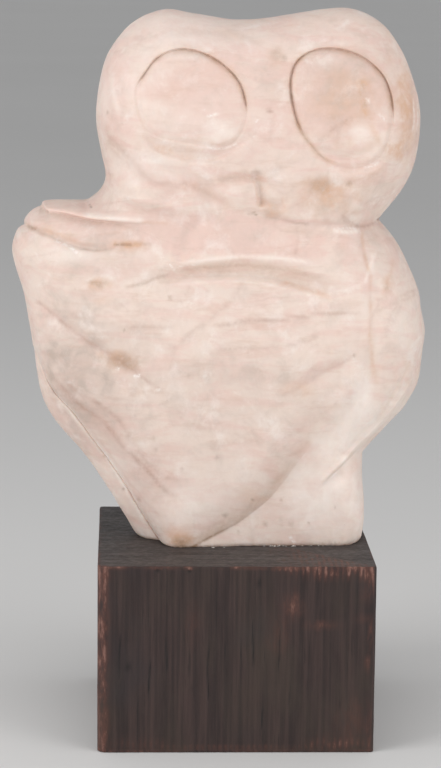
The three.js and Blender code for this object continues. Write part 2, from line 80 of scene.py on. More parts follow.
NECK_LEFT = (-76.8, 175.5)
NECK_RIGHT = (73.6, 166.8)
WING_END_RIGHT = (67.6, 45.2)
FOOT_RIGHT = (62, -30)
FOOT_LEFT = (-34, -30)
NOTCH_LOW = (-108.1, 162.3)
NOTCH_HIGH = (-99.3, 172.3)
OUTLINE_RUNS = [
    [
        NECK_LEFT, (-70, 180.5), (-66.8, 188), (-68.9, 200), (-71.5, 216), (-70.6, 232), (-66, 250),
        (-54.5, 264.8), (-38, 272.8), (-21.7, 271), (-1, 267.9), (19.2, 269.7), (41.2, 273.2),
        (58.9, OWL_HEIGHT), (74, 266.8), (84.7, 252.3), (91.5, 234.8), (94.3, 216.5), (92, 197),
        (85.8, 182.6), NECK_RIGHT,
    ],
    [
        NECK_RIGHT, (83.4, 154.7), (91, 140.3), (95.4, 129), (96.7, 120.8), (99.2, 109), (98.3, 99.6),
        (97.5, 92.4), (95.7, 81.5), (88.7, 68.8), (79.2, 58.6), (70.5, 48.8), WING_END_RIGHT,
    ],
    [WING_END_RIGHT, (67.8, 32), (69, 16), (68, 0), FOOT_RIGHT],
    [FOOT_RIGHT, FOOT_LEFT],
    [
        FOOT_LEFT, (-50.2, 0), (-62.4, 20.2), (-76.8, 41.8), (-92, 60), (-99.3, 74), (-102.4, 89.4),
        (-105.4, 108.2), (-108.8, 127), (-113.5, 143.4), (-114.6, 152), (-112, 160), NOTCH_LOW,
    ],
    [NOTCH_LOW, (-108, 165.5), (-104, 170), NOTCH_HIGH],
    [NOTCH_HIGH, (-98.6, 174.6), (-92, 175.4), NECK_LEFT],
]

STRIP_REACH = 18.0
STRIP_ROUND = 12.0
STRIP_TOP = 105.0
STRIP_FADE = 40.0
STRIP_LINE = [
    (-104.5, 101.5), (-101, 95), (-94, 80.3), (-84, 69), (-73, 54.5), (-56.5, 31), (-47, 14), (-39.5, 2),
    (-37, -4),
]
SHIELD_LINE = [
    (-30, -6), (-21, 0.5), (-11, 6), (1, 12), (9.5, 18.5), (18, 26), (25, 34.5), (32, 45), (39, 55.5),
    (46, 66), (55, 79), (64, 92), (68, 110), (67, 141),
]
SHIELD_DROP = [(0, 1), (0.06, 1.8), (0.2, 4.5), (0.4, 5.5), (0.6, 5), (0.8, 2.5), (1, 0)]
SHIELD_ROUND = 20.0
SHIELD_SOFT_ROUND = 26.0
SHIELD_CRISP_TO = 0.25
SHIELD_SOFT_FROM = 0.5
STRIP_GROOVE = 0.9
STRIP_GROOVE_INNER = 2.0
STRIP_GROOVE_OUTER = 0.9

# Eyes: closed grooves round slightly domed eyeballs, deep between two shares of their length
EYES = [
    dict(
        rim=[
            (-51.5, 233), (-47.5, 242), (-40, 250.7), (-27, 254.3), (-13, 250.2), (-1, 239.8), (3.4, 227),
            (2.4, 216.5), (-3.5, 208.2), (-14, 206.6), (-28, 208.8), (-41, 211.5), (-48.5, 218),
        ],
        deep=(0.01, 0.46),
    ),
    dict(
        rim=[
            (25, 238), (28.5, 249), (38.3, 254.6), (50.6, 254.8), (63, 250.1), (72.7, 240.7), (76.6, 228),
            (76, 214), (71.5, 202.5), (61.3, 196.2), (49.6, 196.8), (40, 203), (33, 211.5), (27.5, 222.5),
        ],
        deep=(-0.16, 0.42),
    ),
]
EYE_GROOVE_DEPTH = 1.9
EYE_INNER_WIDTH = 2.6
EYE_OUTER_WIDTH = 0.8
EYE_LOWER_DEPTH = 0.45
EYE_GROOVE_POWER = 1.4
EYEBALL_DOME = 1.3
EYEBALL_TURN = 15.0
EYEBALL_SUNK = 0.35
EYEBALL_START = 1.2
DEEP_FADE = 0.06


# Grooves, valleys and ridges. A line runs from left to right or from the top down. Height is
# negative for a cut, up and down are its half widths on the left-hand and right-hand side as it
# runs, fade is the share of its length over which each end dies out, and the last setting is how
# much darker its colour is made along it: brown stain, and painted shade in the chest groove,
# the shoulder creases and the beak edge.
def carving(height, up, down, fade, *line, crisp=1.0, dirt_and_shade=0.0):
    return dict(line=line, height=height, up=up, down=down, fade=fade, crisp=crisp, dirt_and_shade=dirt_and_shade)


FRONT_LINES = dict(
    # The chest groove's darkening is painted shade.
    chest_groove=carving(
        -4.6, 9, 3.4, (0.3, 0.35), (-58, 134.5), (-46, 138.5), (-32, 141), (-14, 142.3), (4, 142.5),
        (20, 140.5), (36, 136.5), (52, 131.5), (64, 126), dirt_and_shade=0.19,
    ),
    chest_lip=carving(
        0.9, 4, 5, (0.1, 0.3), (-36, 147.5), (-20, 148.5), (-4, 151.5), (12, 152.3), (28, 150.5),
        (44, 148.5),
    ),
    chest_ledge=carving(
        0.8, 2.5, 8, (0.3, 0.3), (-50, 133), (-26, 138), (-4, 139.3), (18, 137.5), (40, 131),
    ),
    upper_shoulder_lip=carving(
        2.2, 4.5, 2.2, (0.02, 0.7), (-102, 174), (-90, 173), (-72, 170), (-40, 169.5),
    ),
    # The shoulder creases' darkening is painted shadow under each tier, with brown stain.
    upper_shoulder_crease=carving(
        -2, 1.6, 4.5, (0.02, 0.6), (-101, 171.5), (-88, 170), (-72, 167.5), (-36, 167), crisp=1.6,
        dirt_and_shade=0.35,
    ),
    lower_shoulder_crease=carving(
        -2.2, 5, 2.2, (0.02, 0.6), (-110, 164), (-94, 160.5), (-82, 156), (-66, 154.5), (-46, 157),
        crisp=1.6, dirt_and_shade=0.22,
    ),
    shoulder_edge=carving(1, 3, 9, (0.4, 0.4), (-96, 158), (-86, 154), (-76, 150)),
    neck_ridge=carving(
        2.2, 5, 6, (0.15, 0.4), (-70, 183), (-57, 181), (-44, 179), (-29, 176), (-14, 172),
    ),
    neck_valley=carving(-0.6, 5, 6, (0.3, 0.3), (-60, 174), (-44, 172.5), (-28, 170)),
    shoulder_valley=carving(-1.2, 6, 6, (0.25, 0.15), (-15, 173), (-22, 165), (-27, 156), (-32, 148)),
    jaw_valley=carving(-1.1, 7, 6, (0.25, 0.4), (-66, 202), (-56, 193), (-44, 188), (-30, 184)),
    cheek_crease=carving(
        -1.5, 6, 5, (0.3, 0.2), (-46, 200), (-36, 194.5), (-21, 188), (-12, 180), (0, 176),
    ),
    left_brow=carving(-1.2, 4, 7, (0.5, 0.2), (-18, 187), (-1, 191), (7, 194.5)),
    right_brow=carving(-0.8, 4, 5, (0.2, 0.4), (6, 195), (13, 190), (24, 185)),
    eye_hollow=carving(-0.7, 5, 6, (0.3, 0.4), (12, 191), (22, 195), (34, 202)),
    # The beak edge's darkening is painted shade on its steep right side.
    beak_edge=carving(
        -2.2, 5.5, 2.6, (0.2, 0.15), (5.5, 194.5), (9, 190), (10.5, 182), (11.5, 175), crisp=1.2,
        dirt_and_shade=0.04,
    ),
    beak_side=carving(-0.8, 4, 3, (0.3, 0.3), (15, 189), (22, 184), (20, 172)),
    chin=carving(
        -1.7, 4, 9, (0.2, 0.02), (-2, 175), (10, 172.5), (22, 169.5), (38, 166.5), (50, 167), (58, 167),
        (70, 168),
    ),
    cheek_roll=carving(1.2, 6, 5, (0.3, 0.3), (46, 180), (55, 175), (66, 175)),
    left_socket=carving(
        -2, 6, 2.4, (0.15, 0.25), (-49, 213), (-43, 207), (-30, 201.5), (-15.5, 200.5), (-2.5, 206),
        (9, 214),
    ),
    right_socket=carving(
        -1.3, 4.5, 2.4, (0.2, 0.3), (37, 208), (44, 203.5), (54, 201.5), (65, 204.5), (72, 212),
    ),
    right_cheekbone=carving(0.8, 2, 5, (0.3, 0.3), (44, 196.5), (55, 192.5), (68, 195), (77, 203)),
    temple_ridge=carving(1, 4, 3, (0.3, 0.3), (-62, 247), (-63.5, 236), (-61, 220)),
    breast_ledge=carving(1.1, 1.6, 3.5, (0.2, 0.1), (48, 165.5), (62, 164.5)),
    breast_crease=carving(-0.9, 3, 3, (0.2, 0.3), (64, 167), (63, 156), (66, 150), (64, 136)),
    breast_fold=carving(0.7, 2.5, 3, (0.3, 0.3), (75, 160), (70, 152), (66, 144), (63, 137)),
    wing_valley=carving(-0.8, 6, 5, (0.3, 0.3), (67, 146), (69, 116), (68, 100), (69, 82)),
    belly_valley=carving(
        -1.1, 8, 6, (0.35, 0.5), (60, 104), (52, 97.5), (45, 93.5), (36, 88.5), (24, 82),
    ),
    flank_ridge=carving(1.0, 8, 8, (0.3, 0.4), (62, 98), (59, 86), (51, 74), (45, 62), (38, 50)),
    left_fold=carving(
        -0.8, 5, 5, (0.05, 0.4), (-106, 131), (-94, 121.5), (-73, 107), (-58, 96), (-40, 85),
    ),
    rim_groove=carving(
        -1.2, 1.6, 3.2, (0.25, 0.3), (91, 99), (85.5, 88.5), (79, 78.5), (72, 66.5), (66, 59.5), (56, 50),
    ),
    wing_rim=carving(
        1.5, 3, 2.2, (0.3, 0.2), (97, 98), (91, 87), (84, 76.5), (76, 66), (67, 56.5), (56, 46.5),
        (41, 31),
    ),
    rim_shadow=carving(-2.2, 8, 1.4, (0.1, 0.4), (72, 53.5), (64, 49), (55, 42.5), (44, 31.5)),
)
BACK_LINES = dict(
    left_wing_edge=carving(
        -2.4, 12, 4, (0.25, 0.05), (-86, 152), (-78, 112), (-52, 68), (-16, 26), (-10, -4),
    ),
    right_wing_edge=carving(
        -2.4, 4, 12, (0.25, 0.05), (82, 148), (74, 108), (50, 66), (18, 26), (12, -4),
    ),
    nape=carving(-2, 9, 12, (0.4, 0.4), (-52, 176), (-20, 169), (20, 168), (56, 172)),
)
# Soft swellings: centre, half sizes and height
SWELLS = [((59, 88), (9, 15), 1.4), ((-2, 183), (16, 9), 1.0), ((82, 112), (22, 32), 1.5)]

POINTS_PER_SPAN = 6
CALM_DIRECTIONS = 120
CALM_SPREAD = 7
RIM_GRIP = 4
CHUNK = 4096
ON_OUTLINE = 1e-9


def smooth(value):
    t = np.clip(value, 0, 1)
    return t * t * (3 - 2 * t)


def bell(value):
    return np.exp(-(value**2))


def fade_ends(at, shares):
    """1 along a line, dying out over a share of its length at each end."""
    return smooth(at / shares[0]) * smooth((1 - at) / shares[1])


def quarter_round(distance, width, power=2.0):
    u = 1 - np.clip(distance / width, 0, 1)
    return np.sqrt(1 - u**power)


def along(profile, position):
    """Value of a (position, value) profile, on one smooth curve through its points."""
    spots, values = np.array(profile, float).T
    slopes = np.gradient(values, spots)
    i = np.clip(np.searchsorted(spots, position) - 1, 0, len(spots) - 2)
    width = spots[i + 1] - spots[i]
    t = np.clip((position - spots[i]) / width, 0, 1)
    rise = values[i + 1] - values[i]
    start, end = slopes[i] * width, slopes[i + 1] * width
    return values[i] + t * start + t * t * (3 * rise - 2 * start - end) + t**3 * (start + end - 2 * rise)


def samples(points, closed=False):
    """The smooth curve through some points, as a chain of short straight steps."""
    ring = np.array(points, float)
    if closed:
        ring = np.vstack([ring[-1:], ring, ring[:2]])
    spans = len(ring) - 1
    out = []
    for i in range(1 if closed else 0, spans - 1 if closed else spans):
        p0, p1, p2, p3 = ring[max(i - 1, 0)], ring[i], ring[i + 1], ring[min(i + 2, spans)]
        v0, v1 = (p2 - p0) / 2, (p3 - p1) / 2
        t = np.arange(POINTS_PER_SPAN)[:, None] / POINTS_PER_SPAN
        cubic = (2 * p1 - 2 * p2 + v0 + v1) * t**3 + (3 * p2 - 3 * p1 - 2 * v0 - v1) * t**2
        out.append(cubic + v0 * t + p1)
    out.append(ring[spans - 1 if closed else spans][None, :])
    return np.vstack(out)


class Line:
    """A chain of steps that knows how far away a point is, on which side, and how far along."""

    def __init__(self, path):
        self.starts = path[:-1]
        self.steps = path[1:] - path[:-1]
        self.sizes = np.maximum((self.steps**2).sum(1), 1e-12)
        lengths = np.sqrt(self.sizes)
        self.lengths = np.concatenate([[0], np.cumsum(lengths)])
        self.low, self.high = path.min(0), path.max(0)

    def measure(self, points):
        distance = np.empty(len(points))
        left = np.empty(len(points), bool)
        at = np.empty(len(points))
        for first in range(0, len(points), CHUNK):
            part = slice(first, first + CHUNK)
            away = points[part, None, :] - self.starts[None]
            t = np.clip((away * self.steps).sum(2) / self.sizes, 0, 1)
            size = ((away - t[..., None] * self.steps) ** 2).sum(2)
            best = size.argmin(1)
            rows = np.arange(len(best))
            step, near = self.steps[best], away[rows, best]
            distance[part] = np.sqrt(size[rows, best])
            left[part] = step[:, 0] * near[:, 1] - step[:, 1] * near[:, 0] > 0
            at[part] = (self.lengths[best] + t[rows, best] * np.sqrt(self.sizes[best])) / self.lengths[-1]
        return distance, left, at

    def near(self, points, reach):
        """Which points lie in the line's box grown by reach."""
        inside = (points > self.low - reach) & (points < self.high + reach)
        return np.flatnonzero(inside.all(1))

    def around(self, points, reach, kept=None):
        """Numbers of the kept points near the line, with their distance, side and place along."""
        index = self.near(points, reach)
        if kept is not None:
            index = index[kept[index]]
        return (index, *self.measure(points[index]))


def line_through(points, closed=False):
    return Line(samples(points, closed))


OUTLINE = np.vstack([samples(run)[:-1] for run in OUTLINE_RUNS])
OUTLINE_LINE = Line(np.vstack([OUTLINE, OUTLINE[:1]]))

# Far from the outline its distance is softened, as a sum over all of it, so that no crease runs
# in from its corners. For a straight edge this power's sum is SOFT_SHARE over distance**7.
SOFT_POWER = 8
SOFT_SHARE = 5 * math.pi / 16
SOFT_FROM = 2.0
SOFT_TO = 9.0


def rim_distance(points):
    """Distance from the outline: exact close to it, and softened further in."""
    exact = OUTLINE_LINE.measure(points)[0]
    lengths = np.sqrt(OUTLINE_LINE.sizes)
    soft = exact.copy()
    inner = np.flatnonzero(exact > SOFT_FROM)
    for first in range(0, len(inner), CHUNK):
        part = inner[first:first + CHUNK]
        away = points[part, None, :] - OUTLINE_LINE.starts[None]
        t = np.clip((away * OUTLINE_LINE.steps).sum(2) / OUTLINE_LINE.sizes, 0, 1)
        size = ((away - t[..., None] * OUTLINE_LINE.steps) ** 2).sum(2)
        total = (lengths / size ** (SOFT_POWER / 2)).sum(1)
        soft[part] = (SOFT_SHARE / total) ** (1 / (SOFT_POWER - 1))
    share = smooth((exact - SOFT_FROM) / (SOFT_TO - SOFT_FROM))
    return exact + (soft - exact) * share


def radius_fan():
    """Distance from the outline's centre to the outline by direction, true and calmed."""
    away = OUTLINE - OUTLINE_CENTRE
    angles = np.arctan2(away[:, 1], away[:, 0])
    order = np.argsort(angles)
    angles, radii = angles[order], np.hypot(*away.T)[order]
    calm_angles = -math.pi + (np.arange(CALM_DIRECTIONS) + 0.5) * 2 * math.pi / CALM_DIRECTIONS
    true = np.interp(calm_angles, angles, radii, period=2 * math.pi)
    calm = sum(np.roll(true, k) for k in range(-CALM_SPREAD, CALM_SPREAD + 1)) / (2 * CALM_SPREAD + 1)
    return (angles, radii), (calm_angles, calm)


TRUE_FAN, CALM_FAN = radius_fan()
STRIP = line_through(STRIP_LINE)
SHIELD = line_through(SHIELD_LINE)


SEED_STEP = (17.3, 5.1, 9.7)


def lumps(points, size, seed, octaves=2):
    """Smooth noise from about -1 to 1 whose lumps are about size across."""
    offset = Vector([seed * step for step in SEED_STEP])
    values = [noise.fractal(Vector(p) / size + offset, 1.0, 2.0, octaves) for p in points]
    return np.array(values)


def carve(points, lines):
    total = np.zeros(len(points))
    for item in lines.values():
        reach = max(item["up"], item["down"])
        index, distance, left, at = line_through(item["line"]).around(points, reach)
        u = np.clip(distance / np.where(left, item["up"], item["down"]), 0, 1)
        shape = ((1 - u) ** 2 * (1 + 2 * u)) ** item["crisp"]
        total[index] += item["height"] * shape * fade_ends(at, item["fade"])
    return total


def eye_depth(eye, at):
    """Share of the full depth of an eye's groove at a place along its rim."""
    start, end = eye["deep"]
    if start < 0:
        at = np.where(at > end + DEEP_FADE, at - 1, at)
    return smooth((at - start) / DEEP_FADE) * smooth((end + DEEP_FADE - at) / DEEP_FADE)


def carve_eyes(points):
    total = np.zeros(len(points))
    for eye in EYES:
        rim = line_through(eye["rim"], closed=True)
        index, distance, left, at = rim.around(points, EYE_INNER_WIDTH)
        depth = EYE_LOWER_DEPTH + (EYE_GROOVE_DEPTH - EYE_LOWER_DEPTH) * eye_depth(eye, at)
        width = np.where(left, EYE_OUTER_WIDTH, EYE_INNER_WIDTH)
        groove = -depth * (1 - np.clip(distance / width, 0, 1)) ** EYE_GROOVE_POWER
        dome = np.where(left, 0, EYEBALL_DOME * (quarter_round(distance, EYEBALL_TURN) - EYEBALL_SUNK))
        total[index] += groove + dome * smooth(distance / EYEBALL_START)
    return total


def swell(points):
    total = np.zeros(len(points))
    for centre, half, height in SWELLS:
        total += height * smooth(1 - np.hypot(*((points - centre) / half).T))
    return total


def front_depth(points):
    x, h = points.T
    rim = rim_distance(points)
    strip, in_front, _ = STRIP.measure(points)
    in_body = np.where(in_front, np.minimum(rim, strip), 0)
    side = smooth(x / SIDE_BLEND + 0.5)
    turn = along(LEFT_TURN, h) * (1 - side) + along(RIGHT_TURN, h) * side
    crown = 1 - BELLY_ROUNDNESS * (x / BELLY_HALF_WIDTH) ** 2
    rear_strip = STRIP_REACH * quarter_round(rim, STRIP_ROUND)
    lift = rear_strip * (1 - side) * (1 - smooth((h - STRIP_TOP) / STRIP_FADE))
    body = lift + (along(FRONT_REACH, h) * crown - lift) * quarter_round(in_body, turn, TURN_POWER)
    shield, behind, at = SHIELD.measure(points)
    signed = np.where(behind, -shield, shield)
    crisp = np.where(behind, (1 - np.clip(shield / SHIELD_ROUND, 0, 1)) ** 2, 1)
    soft = smooth((signed + SHIELD_ROUND) / SHIELD_SOFT_ROUND)
    softness = smooth((at - SHIELD_CRISP_TO) / (SHIELD_SOFT_FROM - SHIELD_CRISP_TO))
    drop = along(SHIELD_DROP, at) * (crisp + (soft - crisp) * softness) * smooth(in_body / turn)
    relief = (carve(points, FRONT_LINES) + carve_eyes(points) + swell(points)) * smooth(rim / FRONT_MARGIN)
    reach = np.where(in_front, STRIP_GROOVE_INNER, STRIP_GROOVE_OUTER)
    groove = STRIP_GROOVE * (1 - smooth(strip / reach)) * smooth(rim / STRIP_MARGIN)
    return np.maximum(body - drop + np.where(in_front, relief, 0), rear_strip) - groove


def back_depth(points):
    rim = rim_distance(points)
    body = along(BACK_REACH, points[:, 1]) * quarter_round(rim, BACK_TURN, TURN_POWER)
    return body + carve(points, BACK_LINES) * smooth(rim / BACK_MARGIN)


def stone_points(directions):
    """Stone surface for unit directions: y = 0 gives the outline, and -Y the front."""
    flat = directions[:, [0, 2]]
    spread = np.hypot(*flat.T)
    angle = np.arctan2(flat[:, 1], flat[:, 0])
    calm = np.interp(angle, *CALM_FAN, period=2 * math.pi)
    true = np.interp(angle, *TRUE_FAN, period=2 * math.pi)
    points = np.array(OUTLINE_CENTRE) + flat * (calm + (true - calm) * spread**RIM_GRIP)[:, None]
    y = np.full(len(points), MIDDLE_Y)
    front = directions[:, 1] < -ON_OUTLINE
    back = directions[:, 1] > ON_OUTLINE
    if front.any():
        y[front] -= front_depth(points[front])
    if back.any():
        y[back] += back_depth(points[back])
    return np.column_stack([points[:, 0], y, points[:, 1]])


# Fineness of the stone's mesh: longest edge in open ground, and close to a carved line
FRONT_EDGE = 2.8
BACK_EDGE = 5.6
RIM_EDGE = 2.6
LINE_EDGE = 1.5
BACK_LINE_EDGE = 3.0
GROOVE_EDGE = 0.77
EDGE_GROWTH = 0.31
UNDERGROUND_EDGE = 12.0
GROUND_CUT = -1.5
MOST_ROUNDS = 24
# An edge between two points is one number: the lower point times this, plus the higher
KEY_STEP = 1 << 24


def wanted_edge(directions, spots):
    """How long a mesh edge may be at each point of the stone."""
    points = spots[:, [0, 2]]
    front = directions[:, 1] <= ON_OUTLINE
    wanted = np.where(front, FRONT_EDGE, BACK_EDGE)
    rim = OUTLINE_LINE.measure(points)[0]
    wanted = np.minimum(wanted, RIM_EDGE + EDGE_GROWTH * rim)
    fine = [(line_through(eye["rim"], closed=True), GROOVE_EDGE, True) for eye in EYES]
    fine += [(STRIP, GROOVE_EDGE, True), (SHIELD, GROOVE_EDGE, True)]
    for item in FRONT_LINES.values():
        finest = GROOVE_EDGE if item["crisp"] > 1 else LINE_EDGE
        fine.append((line_through(item["line"]), finest, True))
    fine += [(line_through(item["line"]), BACK_LINE_EDGE, False) for item in BACK_LINES.values()]
    for line, finest, on_front in fine:
        index, distance, _, _ = line.around(points, (BACK_EDGE - finest) / EDGE_GROWTH, front == on_front)
        wanted[index] = np.minimum(wanted[index], finest + EDGE_GROWTH * distance)
    return np.where(points[:, 1] < GROUND_CUT, UNDERGROUND_EDGE, wanted)


def edge_key(p, q):
    return np.minimum(p, q) * KEY_STEP + np.maximum(p, q)


def stone_mesh():
    """An octahedron whose faces are halved until they are fine enough. A face is (a, b, c) with
    the edge a-b next to be halved, so neighbours always stay matched."""
    directions = np.array([[1, 0, 0], [-1, 0, 0], [0, 1, 0], [0, -1, 0], [0, 0, 1], [0, 0, -1]], float)
    faces = np.array([
        [0, 4, 3], [4, 1, 3], [1, 5, 3], [5, 0, 3],
        [4, 0, 2], [1, 4, 2], [5, 1, 2], [0, 5, 2],
    ])
    spots = stone_points(directions)
    wanted = wanted_edge(directions, spots)
    for _ in range(MOST_ROUNDS):
        a, b, c = faces.T
        keys = np.stack([edge_key(a, b), edge_key(b, c), edge_key(c, a)])
        length = np.linalg.norm(spots[a] - spots[b], axis=1)
        marked = np.unique(keys[0][length > wanted[faces].min(1)])
        if len(marked) == 0:
            break
        while True:
            touched = np.isin(keys[1], marked) | np.isin(keys[2], marked)
            grown = np.union1d(marked, keys[0][touched])
            if len(grown) == len(marked):
                break
            marked = grown
        ends = np.stack([marked // KEY_STEP, marked % KEY_STEP])
        fresh = directions[ends[0]] + directions[ends[1]]
        fresh /= np.linalg.norm(fresh, axis=1)[:, None]
        first_new = len(directions)
        fresh_spots = stone_points(fresh)
        directions = np.vstack([directions, fresh])
        spots = np.vstack([spots, fresh_spots])
        wanted = np.concatenate([wanted, wanted_edge(fresh, fresh_spots)])

        def middle(p, q):
            key = edge_key(p, q)
            place = np.minimum(np.searchsorted(marked, key), len(marked) - 1)
            return np.where(marked[place] == key, first_new + place, -1)

        m = middle(a, b)
        kept = faces[m < 0]
        a, b, c, m = a[m >= 0], b[m >= 0], c[m >= 0], m[m >= 0]
        children = np.vstack([np.column_stack([c, a, m]), np.column_stack([b, c, m])])
        second = middle(children[:, 0], children[:, 1])
        whole = children[second < 0]
        p, q, r = children[second >= 0].T
        s = second[second >= 0]
        faces = np.vstack([kept, whole, np.column_stack([r, p, s]), np.column_stack([q, r, s])])
    return directions, spots, faces


